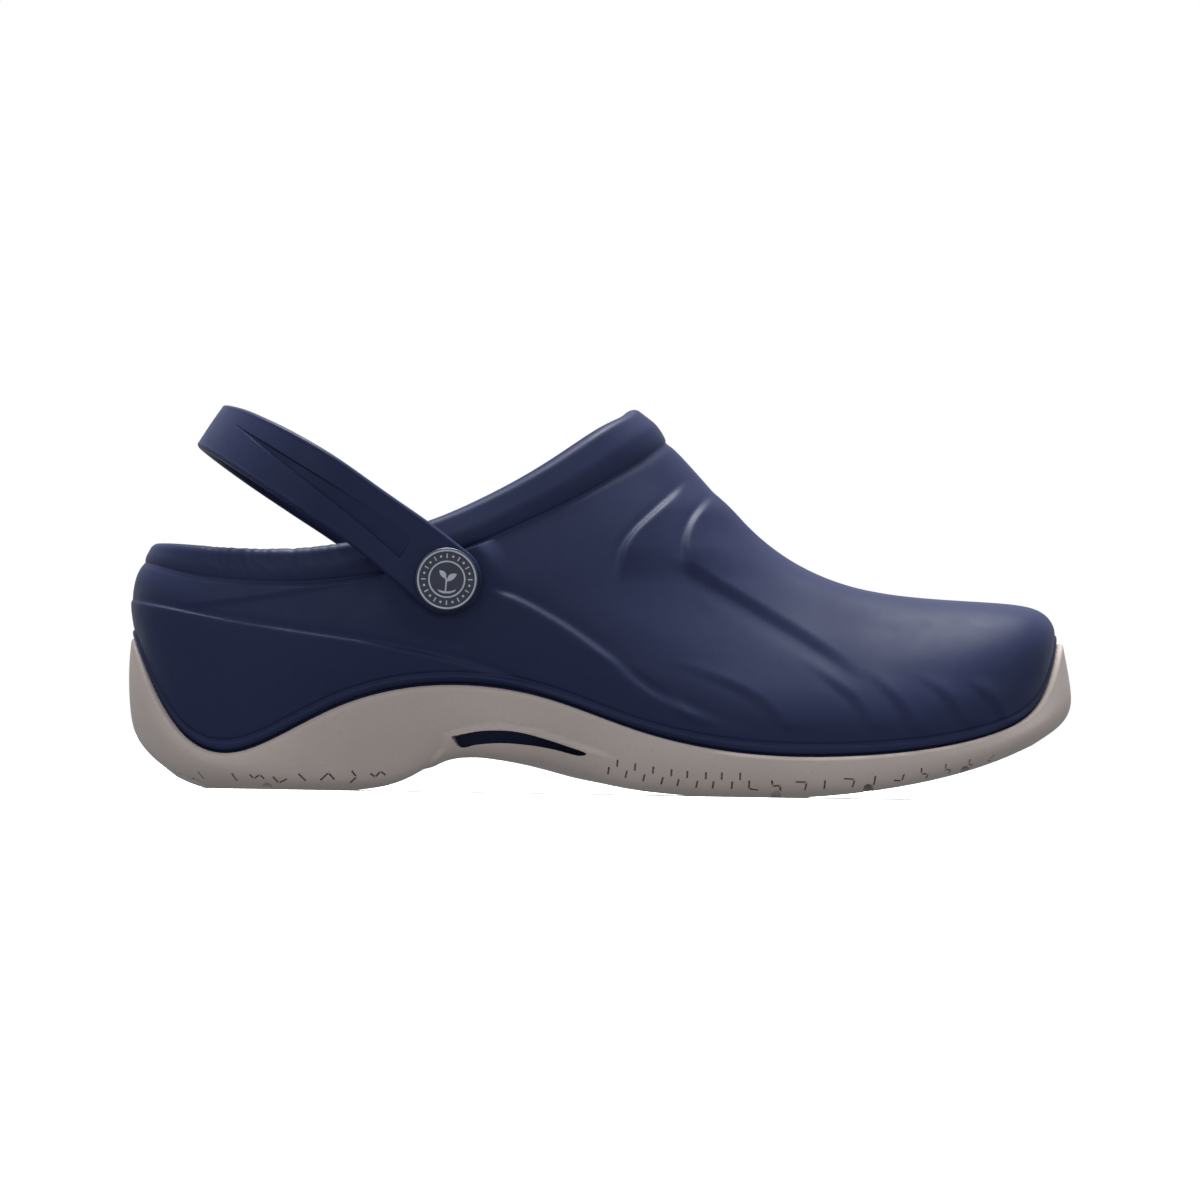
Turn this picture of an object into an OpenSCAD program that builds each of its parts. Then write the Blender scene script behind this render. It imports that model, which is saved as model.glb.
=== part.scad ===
// Rubber garden clog, right foot: moulded foam upper, rubber cup outsole,
// lift-out footbed and a swinging heel strap on two snap rivets.
// Frame: X from heel to toe, Y from the lateral side (-) to the medial side (+),
// Z up, with the origin on the ground under the middle of the clog. Millimetres.

/* [Clog] */
// Overall length, heel to toe
clog_length = 270; // [250:1:290]
// Overall width across the ball of the foot
clog_width = 100; // [94:1:106]
// Height to the top of the front collar
clog_height = 110; // [104:1:116]
// Wall thickness of the moulded upper
wall = 4; // [3.4:0.1:4.4]
// How far the collar roll stands out of the upper
roll_out = 2; // [1:0.1:2.4]
// Height of the rounded lip above the collar roll
lip_h = 2.7; // [2:0.1:3]
// Glue gap between the upper and the outsole
glue_gap = 0.12; // [0.1:0.01:0.2]

/* [Heel strap] */
// Thickness of the strap
strap_t = 3.8; // [3:0.1:4.2]
// Inside half width between the strap arms
strap_in = 38.4; // [38.4:0.1:39]
// Outside radius from the pivot to the back of the strap
strap_reach = 79.5; // [78:0.5:84]
// Distance from the pivot to the start of the bend
strap_straight = 42; // [36:1:50]
// Radius of the round strap end
strap_end_r = 10; // [9.5:0.1:10.5]
// Angle of the strap above the horizontal in the rest position
strap_rest = 33.2; // [15:0.1:60]

/* [Rivets] */
// Height of the strap pivot above the ground
pivot_z = 60.3; // [59:0.1:62]
// Distance of the strap pivot behind the origin
pivot_x = 46.4; // [43:0.1:47]
// Diameter of the rivet head
rivet_d = 18; // [16:0.5:19]
// Diameter of the rivet post
post_d = 8; // [7:0.5:9]
// Radial running clearance of the strap on the post
run_gap = 0.05; // [0.02:0.01:0.1]
// Diameter of the inner snap washer
lock_d = 16; // [14:0.5:16.5]

/* [Footbed] */
// Thickness of the foam footbed
foam_t = 5; // [4:0.5:6]
// Thickness of the textile cover on the footbed
cover_t = 0.8; // [0.6:0.1:1.2]
// Rise of the footbed's edge above its middle
cup_h = 2; // [0:0.5:3]

/* [Hidden] */

kx = clog_length / 270;
ky = clog_width / 100;
kz = clog_height / 110;
per = 4;                     // samples between two table columns
px = -pivot_x;
pz = pivot_z;
seat = strap_in - 0.3;       // seat plane of the strap on the upper, from the middle
head_in = strap_in + strap_t + 0.25;
head_t = 1.8;
lock_seat = 34;              // flat seat of the snap washer inside the wall
lock_t = 2.4;

// Every table row is one closed line round the clog, given by 14 columns from the
// middle of the heel to the middle of the toe: [x, half width lateral, half width
// medial, z]. The first and last columns lie on the middle line at y = half width
// medial.
UPPER = [
 // continuation below the outsole's edge
 [[-131,0,0,36.5],[-128,12.8,12.8,26.5],[-118,23,23,8.4],[-101.5,30,30,3.8],[-76,32.5,32,17],[-47,34.5,32,23],[-18,37.5,32.5,19.5],[9,43.4,37,9.5],[38,47,44.5,4.5],[65.5,45.5,46.8,4.5],[91,38.8,43.2,8],[111.5,27,35,13],[123.5,14.3,23.7,21.5],[128.6,5,5,41]],
 // at the outsole's top edge
 [[-132.6,0,0,41.2],[-130,13.5,13.5,33.3],[-120,24,24,14.3],[-103,31,31,8.9],[-76.5,33.5,33,24],[-47,35.5,33,30],[-18,38.5,33.6,27],[9,44.3,38,17],[38,47.7,45.5,11.7],[66,46.3,47.5,11.4],[92,39.5,44,14],[113,27.5,35.8,19.5],[125,14.7,24.2,29],[129.4,5,5,46.6]],
 [[-134,0,0,48],[-131,14,14,42],[-121.5,25,25,27],[-104.5,31.8,31.8,22.5],[-78,34.6,34.6,31],[-47.5,36.6,35,36.5],[-18,39.2,35.6,36],[9,45,40,28],[38,48,46.6,22],[67,46.5,48,20],[94,39.6,44.6,22],[115,27.2,35.7,28.5],[126.3,14.3,24.2,37],[129.6,5,5,49.4]],
 [[-134.4,0,0,51.5],[-131.3,14,14,47.5],[-122,25,25,36.5],[-105.5,31.7,31.7,33],[-79,34.8,34.8,37],[-48,37.1,36.4,42.5],[-17.5,39,37.3,44.5],[9.5,44,41.3,37.5],[38,45,46,31],[68,43,46.5,29],[95,36.5,43,30.5],[115.5,25,34.5,37.5],[126,13.3,23,45],[128.4,5,5,52]],
 [[-134.3,0,0,54.5],[-131.2,13.9,13.9,51.5],[-122,24.7,24.7,44],[-106,31.2,31.2,41],[-80,34.5,34.5,42],[-48.5,37.2,37,47.5],[-17.5,38,37.3,52],[9.5,41.5,40.8,46],[37.5,40.5,43.5,40],[67,37.5,42.5,38.5],[93,31.5,39,40],[112,21.5,30.5,46],[121,11.5,20.5,51.8],[123.3,5,5,55.6]],
 [[-134,0,0,57],[-130.9,13.7,13.7,54.5],[-121.8,24.2,24.2,49],[-106,30.6,30.6,46.5],[-80.5,34,34,46.5],[-49,37,36.9,52],[-18,36.9,36.6,58],[9,38,38.5,54],[35,35,39.5,49.5],[60.5,31,37,47.5],[83,25,32.5,48.5],[99.5,16.5,25,52],[107,8,16.5,55.3],[109.5,4.5,4.5,56.8]],
 [[-133.6,0,0,59],[-130.5,13.4,13.4,57],[-121.5,23.7,23.7,52.5],[-105.9,30,30,50],[-80.5,33.5,33.5,50],[-49.3,36.4,36.4,55.5],[-19,35.7,35.6,63],[7,35,36,61.5],[30,31,35,58.5],[51,26,32,56],[68.5,20.5,27.5,56.3],[79.5,13,20,57.4],[84,5.5,12.5,58],[84.8,4,4,58.1]],
 [[-133.1,0,0,60.5],[-130,13.2,13.2,59],[-121.1,23.2,23.2,55.2],[-105.8,29.4,29.4,53],[-80.5,33,33,53],[-49.6,35.7,35.7,58.5],[-20.7,34.4,34.5,67],[3.5,32.8,33.8,68.3],[23.5,28,31.5,67.7],[39.5,22.5,28,65.7],[51.5,17,23,64.5],[59,10.5,17,63.6],[62,4.5,10.5,63],[62.5,3.5,3.5,62.9]],
 [[-132.5,0,0,61.8],[-129.4,12.9,12.9,60.6],[-120.6,22.6,22.6,57.4],[-105.7,28.8,28.8,55.5],[-80.5,32.5,32.5,55.5],[-49.8,35,35,61.2],[-23,33.2,33.4,70.3],[-1,30.8,31.6,74.5],[16,25.5,28.5,76.7],[27.8,20,24.5,76],[36,14.5,19.5,75.5],[41,9,14,74.9],[43,4,8.5,74.5],[43.5,3,3,74.3]],
 [[-131.8,0,0,62.9],[-128.8,12.6,12.6,62],[-120.1,22,22,59.3],[-105.6,28.2,28.2,57.5],[-80.5,32,32,57.5],[-49.9,34.3,34.3,63.3],[-25.3,32.1,32.3,73],[-6,29.2,29.8,79.3],[8,23.7,26,84.6],[17,18,21.5,87.3],[22.3,13,17,89.5],[25.2,8,12,90.8],[26.5,3.5,7,91.5],[26.8,2.5,2.5,91.6]],
 // crease under the collar roll
 [[-131,0,0,63.9],[-128,12.2,12.2,63.2],[-119.5,21.4,21.4,61],[-105.4,27.6,27.6,59.3],[-80.5,31.5,31.5,59.3],[-50,33.6,33.6,65.5],[-28,31,31.3,75.2],[-11,27.8,28.4,83.2],[0.5,22.5,24.5,90],[8.5,17.3,20,94.6],[13,12.6,15.6,97.9],[15.8,8,11,99.7],[17.2,3.5,6.5,100.6],[17.6,2,2,100.8]],
 // end of the wall, under the rounded lip
 [[-129,0,0,67.6],[-126.2,11.4,11.4,67.5],[-118.2,20,20,66.9],[-105,25.8,25.8,66.1],[-80.5,29.2,29.2,66.9],[-53,29.8,29.8,73.6],[-34,28,28.5,81.8],[-19,25.5,26.2,90],[-8,21.2,22.8,97.3],[-1,16.8,18.8,102.2],[3.8,12.3,15,105],[6.7,8,10.5,106.4],[8.1,3.5,6,107.7],[8.4,1.5,1.5,107.8]],
];
// lowest edge of the upper's midsole, hidden in the outsole
BOTTOM = [[-124,0,0,9],[-121,12,12,8],[-113,21,21,6.3],[-99,28,28,5.5],[-76,31,30.5,9],[-47,33,30.5,12.6],[-18,35.5,31,11.6],[9,41.5,35.5,8],[37,45,42.8,5.8],[64,43.5,44.8,5.8],[89,37,41.3,8.6],[108,25.5,33,13],[119,12.5,21.5,18],[122.5,5,5,20.5]];
// floor inside the upper
FLOOR = [[-127,0,0,27.5],[-124,12,12,27],[-115.5,20.3,20.3,26.5],[-101,26.5,26.5,26],[-76.5,29.7,29.3,26.5],[-47,31.5,29.5,26],[-18,34,30,22.5],[9,39.3,34,17.5],[37.5,42,40.3,13.5],[65,40.5,42,13.3],[90,33.8,38.5,15.8],[109,22.5,30,20],[119,11,19.2,23],[122,4,4,24.5]];
// row of UPPER at which the inside of the wall turns down to the floor, by column
TURN = [1.1, 1.1, 2.2, 2.5, 1.7, 1.2, 1.1, 1.3, 1.5, 1.6, 1.6, 1.3, 1.1, 1.1];
OUTSOLE = [
 // top edge
 [[-134.2,0,0,42.8],[-131.8,14.5,14.5,34.3],[-122,26.3,26.3,14.8],[-103.5,33.3,33.3,8.4],[-76,35.8,35.3,24],[-47,37.7,35.3,30],[-18,40.7,35.8,27],[9,46.5,40.2,17.3],[38,49.7,47.5,11.5],[66,48.3,49.5,11.2],[92.5,41.7,46.3,14],[114,29.5,37.8,19.8],[127,15.5,25.5,29],[131.8,5,5,49.6]],
 [[-134.9,0,0,34],[-132.2,14.6,14.6,25],[-122.5,26.2,26.2,11.5],[-103.5,33.8,33.8,6.2],[-74,35.9,35.2,14.6],[-46.5,37.4,34.8,21.7],[-18,40.8,35.6,19],[9,46.9,40.3,12.3],[38,49.9,47.8,8.2],[66,48.6,49.9,8],[93,42.1,46.8,10.8],[115,29.9,38.3,17.2],[129,15.4,25.7,25.2],[134.8,5,5,33]],
 [[-134.1,0,0,20],[-130.5,14.2,14.2,14],[-120.5,25,25,6.6],[-103,33.2,33.2,3.9],[-65,35.3,34.3,5.2],[-46.3,35.8,33,14.6],[-18,40,34.5,12.8],[9,46.2,39.5,7.3],[38,49.5,47.3,4.8],[66,48.1,49.3,4.8],[93,41.4,46.2,8],[114.5,29.2,37.5,14.8],[128.5,15,25.2,21.8],[134.2,5,5,26]],
 [[-130.5,0,0,11.5],[-127,13.3,13.3,8],[-117.5,23.5,23.5,3],[-101,31.2,31.2,1.5],[-61,33.6,32.6,1.9],[-46,34,31,11.4],[-17.5,38,32.5,9.2],[8,44.4,37.8,3.3],[38,48,45.5,1.7],[65.5,46.5,47.7,2.3],[91.5,39.8,44.4,5.9],[112,27.8,36,12.4],[125.5,14,24,18.6],[131,5,5,21.2]],
 // edge of the tread; where it dips below the ground the tread is flat
 [[-121,0,0,3.1],[-118.5,11.5,11.5,2],[-111,21.5,21.5,-0.4],[-98,28,28,-0.6],[-60,30.8,30,0.6],[-45.7,31.5,28.5,10.5],[-17,35,30,7.9],[6.5,41.2,34.8,1.7],[37,45,42.5,-0.4],[64,43.5,44.8,0.8],[88,37,41.5,4.5],[107,25.5,33.5,9.5],[119.5,12.5,22,14.4],[124.5,5,5,16.6]],
];
// side outline of the arch window in the outsole, x and z
WINDOW = [[-42.3,15.7],[-40.6,12.7],[-37,13.5],[-30,14.1],[-22,13.6],[-15,12.5],[-8.4,10.9],[-6,11.6],[-11,13.4],[-17,15.3],[-24,17.1],[-30,17.7],[-37,17.3]];
// side outline of the strap from the pivot to its back, along and across the arm
STRAP_TOP = [[0,10],[12,10.7],[28,10.9],[45,11.2],[58,10.5],[68,9.3],[75,7.9],[84,4.6]];
STRAP_LOW = [[84,-7.4],[62,-7.6],[45,-7.4],[28,-7.3],[11,-8.8],[0,-10]];

// one table row as a closed line of points
function line(r) = let(n = len(r)) concat(
    [for (j = [0:n-1]) [r[j][0]*kx, (j == 0 || j == n-1 ? r[j][2] : -r[j][1])*ky, r[j][3]*kz]],
    [for (j = [n-2:-1:1]) [r[j][0]*kx, r[j][2]*ky, r[j][3]*kz]]);
// control points whose smooth cubic line passes through the given points
function through(P) = let(m = len(P)) [for (i = [0:m-1]) P[i] - (P[(i+m-1)%m] - 2*P[i] + P[(i+1)%m])/6];
function net(T) = let(R = [for (r = T) through(line(r))], n = len(R),
    D = [for (i = [0:n-1]) (i == 0 || i == n-1) ? R[i] : R[i] - (R[i-1] - 2*R[i] + R[i+1])/6])
    concat([2*D[0] - D[1]], D, [2*D[n-1] - D[n-2]]);
// cubic weights and their slopes
function w3(f) = [pow(1-f,3), 3*f*f*f - 6*f*f + 4, -3*f*f*f + 3*f*f + 3*f + 1, f*f*f]/6;
function d3(f) = [-pow(1-f,2)/2, 1.5*f*f - 2*f, -1.5*f*f + f + 0.5, f*f/2];
function mixr(N, i, w) = [for (j = [0:len(N[0])-1]) w[0]*N[i][j] + w[1]*N[i+1][j] + w[2]*N[i+2][j] + w[3]*N[i+3][j]];
function mix4(C, s, w) = let(m = len(C), j = floor(s)) w[0]*C[(j-1+m)%m] + w[1]*C[j%m] + w[2]*C[(j+1)%m] + w[3]*C[(j+2)%m];
function unit(v) = v/norm(v);
// columns sampled round the clog
cols = 2*(len(FLOOR)-1);
NS = cols*per;
ss = [for (i = [0:NS-1]) i/per];
// a point of a one-row line
function on_line(r) = let(C = through(line(r))) [for (s = ss) mix4(C, s, w3(s - floor(s)))];
// a row of a net at t: [point, outward normal, upward tangent]
function frames(N, t) = let(tt = min(max(t, 0), len(N)-3-0.000001), i = floor(tt), f = tt - i,
    C = mixr(N, i, w3(f)), D = mixr(N, i, d3(f)))
    [for (s = ss) let(g = s - floor(s), P = mix4(C, s, w3(g)), U = mix4(C, s, d3(g)), V = mix4(D, s, w3(g)))
        [P, unit(cross(U, V)), unit(V)]];
function frame1(N, s, t) = let(i = floor(t), f = t - i, g = s - floor(s), m = len(N[0]), j = floor(s),
    wf = w3(f), df = d3(f), wg = w3(g), dg = d3(g),
    G = [for (a = [0:3]) [for (b = [0:3]) N[i+a][(j-1+b+m)%m]]],
    A = [for (a = [0:3]) wg[0]*G[a][0] + wg[1]*G[a][1] + wg[2]*G[a][2] + wg[3]*G[a][3]],
    B = [for (a = [0:3]) dg[0]*G[a][0] + dg[1]*G[a][1] + dg[2]*G[a][2] + dg[3]*G[a][3]],
    P = wf[0]*A[0] + wf[1]*A[1] + wf[2]*A[2] + wf[3]*A[3],
    V = df[0]*A[0] + df[1]*A[1] + df[2]*A[2] + df[3]*A[3],
    U = wf[0]*B[0] + wf[1]*B[1] + wf[2]*B[2] + wf[3]*B[3]) [P, unit(cross(U, V))];
function step(v) = let(c = min(max(v, 0), 1)) c*c*(3 - 2*c);
// closed solid from rings that run from one middle ladder to the other
function ladder(o, n, flip) = let(h = n/2, F = concat([[o, o+1, o+n-1]],
    [for (i = [1:h-2]) each [[o+i, o+i+1, o+n-i], [o+i+1, o+n-i-1, o+n-i]]],
    [[o+h-1, o+h, o+h+1]])) [for (f = F) flip ? [f[2], f[1], f[0]] : f];
// bands from first to last are split along the other diagonal, so that two
// solids lofted in opposite directions lie parallel
function skin(R, n, first, last) = concat(
    ladder(0, n, false),
    [for (k = [0:R-2]) for (i = [0:n-1]) let(a = k*n+i, b = k*n+(i+1)%n, c = a+n, d = b+n)
        each (k >= first && k <= last ? [[a, c, d], [a, d, b]] : [[a, c, b], [b, c, d]])],
    ladder((R-1)*n, n, true));
module loft(rings, first = 1, last = 0) {
    n = len(rings[0]);
    polyhedron(points = [for (r = rings) each r], faces = skin(len(rings), n, first, last), convexity = 8);
}
// a line moved outward in the horizontal plane by d and up by h
function grow(P, d, h) = let(m = len(P)) [for (i = [0:m-1])
    let(t = P[(i+1)%m] - P[(i+m-1)%m], q = unit([t[1], -t[0]])) P[i] + [q[0]*d, q[1]*d, h]];
function blend(A, B, f) = [for (i = [0:len(A)-1]) A[i]*(1-f) + B[i]*f];
function flat0(P) = [for (p = P) [p[0], p[1], max(p[2], 0)]];

NU = net(UPPER);
NO = net(OUTSOLE);
top_row = len(UPPER) - 1;
edge_line = [for (q = frames(NU, 1)) q[0]];
bottom_line = on_line(BOTTOM);
floor_line = on_line(FLOOR);
// the roll is full height at the front and fades towards the heel
function roll_at(p) = roll_out*(0.3 + 0.7*step((p[0]/kx + 110)/50));
function outer_row(t) = [for (q = frames(NU, t)) q[0] + q[1]*roll_at(q[0])*step((t - top_row + 1)/0.35)];
function lip_row(a) = [for (q = frames(NU, top_row)) let(o = roll_at(q[0]), r = (o + wall)/2, c = (o - wall)/2)
    q[0] + q[1]*(c + r*cos(a)) + q[2]*lip_h*sin(a)];
function turn_at(s) = let(u = s > cols/2 ? cols - s : s, i = min(floor(u), len(TURN)-2), f = u - i) TURN[i]*(1-f) + TURN[i+1]*f;
function inner_row(q) = [for (s = ss) let(e = turn_at(s), t = top_row - 0.000001 - q*(top_row - e), F = frame1(NU, s, t)) F[0] - F[1]*wall];

module at_pivot(side) translate([px, 0, pz]) rotate([side*90, 0, 0]) children(); // +Z runs outward on that side

module upper() {
    color([0.17, 0.19, 0.31]) difference() {
        union() {
            loft(concat(
                [bottom_line, blend(bottom_line, edge_line, 0.5)],
                [for (t = [1:0.5:9.5]) outer_row(t)],
                [for (t = [10, 10.15, 10.35, 10.65, 11]) outer_row(t)],
                [for (a = [35, 65, 90, 115, 145]) lip_row(a)],
                [for (q = [0, 0.07, 0.15, 0.25, 0.35, 0.46, 0.58, 0.7, 0.82, 0.92, 1]) inner_row(q)],
                [blend(inner_row(1), floor_line, 0.6), floor_line]));
            for (side = [-1, 1]) at_pivot(side) translate([0, 0, 34.5]) cylinder(h = seat - 34.5, r = 11.5, $fn = 64);
        }
        for (side = [-1, 1]) at_pivot(side) {
            translate([0, 0, 25]) cylinder(h = 20, r = post_d/2 + run_gap, $fn = 48);
            translate([0, 0, 24]) cylinder(h = lock_seat - 24, r = lock_d/2 + 0.4, $fn = 64);
        }
    }
}

module outsole() {
    color([0.62, 0.58, 0.54]) difference() {
        loft(concat(
            [for (t = [4:-0.5:0]) flat0([for (q = frames(NO, t)) q[0]])],
            [grow(edge_line, glue_gap, 0), grow(blend(bottom_line, edge_line, 0.5), glue_gap, 0), grow(bottom_line, glue_gap, -glue_gap)]), 9, 99);
        for (side = [-1, 1]) translate([0, side*44, 0]) rotate([90, 0, 0])
            linear_extrude(height = 28, center = true) polygon([for (p = WINDOW) [p[0]*kx, p[1]*kz]]);
    }
}

foam_low = grow(floor_line, -0.5, 0.15);
function foam_top(h) = grow(floor_line, -0.9, h);
function inset(P, f, h) = [for (i = [0:len(P)-1]) let(q = P[(len(P)-i)%len(P)], m = (P[i] + q)/2)
    [P[i][0]*(1 - (1-f)*0.35), m[1] + (P[i][1] - m[1])*f, P[i][2] + h]];

module footbed_foam() {
    color([0.25, 0.27, 0.36]) loft([foam_low, grow(floor_line, -0.6, foam_t*0.5), foam_top(foam_t + cup_h),
        inset(foam_top(foam_t), 0.93, cup_h*0.45), inset(foam_top(foam_t), 0.8, 0), inset(foam_top(foam_t), 0.4, 0)]);
}

module footbed_cover() {
    e = 0.1;
    color([0.2, 0.21, 0.26]) loft([inset(foam_top(foam_t), 0.4, e), inset(foam_top(foam_t), 0.8, e), inset(foam_top(foam_t), 0.93, cup_h*0.45 + e),
        foam_top(foam_t + cup_h + e), foam_top(foam_t + cup_h + cover_t),
        inset(foam_top(foam_t), 0.93, cup_h*0.45 + cover_t), inset(foam_top(foam_t), 0.8, cover_t), inset(foam_top(foam_t), 0.4, cover_t)], 0, 2);
}

// half ellipse round the back of the strap, offset inward by d
function bend(d) = [for (a = [-90:5:90]) [strap_straight + (strap_reach - d - strap_straight)*cos(a), (strap_in + strap_t - d)*sin(a)]];

module heel_strap() {
    color([0.18, 0.2, 0.32]) translate([px, 0, pz]) rotate([0, 180 + strap_rest, 0]) difference() {
        intersection() {
            // plan: a U with its open end at the pivot
            translate([0, 0, -20]) linear_extrude(height = 40) difference() {
                polygon(concat([[-20, -strap_in - strap_t]], bend(0), [[-20, strap_in + strap_t]]));
                polygon(concat([[-21, -strap_in]], bend(strap_t), [[-21, strap_in]]));
            }
            // side: tapered arm with a round end
            rotate([90, 0, 0]) linear_extrude(height = 100, center = true) union() {
                circle(r = strap_end_r, $fn = 72);
                polygon([for (p = concat(STRAP_TOP, STRAP_LOW)) [p[0], -p[1]]]);
            }
        }
        rotate([90, 0, 0]) cylinder(h = 100, r = post_d/2 + run_gap, center = true, $fn = 48);
    }
}

// rivet with its axis along +Z, Z measured from the middle plane of the clog
module rivet() {
    p = post_d/2;
    color([0.16, 0.18, 0.3]) rotate_extrude($fn = 96) polygon([
        [0, 30], [p - 0.8, 30], [p + 0.7, 31.2], [p + 0.7, lock_seat - lock_t - 0.1], [p, lock_seat - lock_t - 0.1],
        [p, head_in], [rivet_d/2 - 0.3, head_in], [rivet_d/2, head_in + 0.3], [rivet_d/2, head_in + head_t - 0.7],
        [rivet_d/2 - 0.5, head_in + head_t - 0.1], [rivet_d/2 - 1, head_in + head_t], [0, head_in + head_t]]);
}
module rivet_lock() {
    color([0.3, 0.32, 0.4]) translate([0, 0, lock_seat - lock_t - 0.05]) difference() {
        union() {
            cylinder(h = lock_t, r = lock_d/2 - 0.6, $fn = 64);
            translate([0, 0, 0.7]) cylinder(h = lock_t - 0.7, r = lock_d/2, $fn = 64);
        }
        translate([0, 0, -1]) cylinder(h = lock_t + 2, r = post_d/2 + run_gap, $fn = 48);
    }
}
module strap_rivet_lateral() at_pivot(1) rivet();
module strap_rivet_medial() at_pivot(-1) rivet();
module rivet_lock_lateral() at_pivot(1) rivet_lock();
module rivet_lock_medial() at_pivot(-1) rivet_lock();

upper();
outsole();
footbed_foam();
footbed_cover();
heel_strap();
strap_rivet_lateral();
strap_rivet_medial();
rivet_lock_lateral();
rivet_lock_medial();
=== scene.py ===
# Rubber garden clog: the looks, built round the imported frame. Lengths in the tables are millimetres.
import math
import bpy
import numpy as np
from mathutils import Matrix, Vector


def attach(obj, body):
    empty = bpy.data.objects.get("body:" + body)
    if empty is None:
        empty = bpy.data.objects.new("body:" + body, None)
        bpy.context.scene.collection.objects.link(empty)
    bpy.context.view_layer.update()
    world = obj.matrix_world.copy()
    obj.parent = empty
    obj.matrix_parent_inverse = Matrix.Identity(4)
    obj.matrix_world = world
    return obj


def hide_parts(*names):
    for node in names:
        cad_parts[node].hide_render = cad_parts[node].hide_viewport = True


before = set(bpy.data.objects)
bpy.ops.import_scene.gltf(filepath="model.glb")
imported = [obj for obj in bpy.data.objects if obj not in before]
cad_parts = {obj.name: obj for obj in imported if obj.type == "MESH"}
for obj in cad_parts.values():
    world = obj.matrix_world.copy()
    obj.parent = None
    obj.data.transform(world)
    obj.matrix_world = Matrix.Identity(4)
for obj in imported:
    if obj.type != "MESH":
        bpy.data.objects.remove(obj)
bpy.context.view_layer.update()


MM = 0.001

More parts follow.
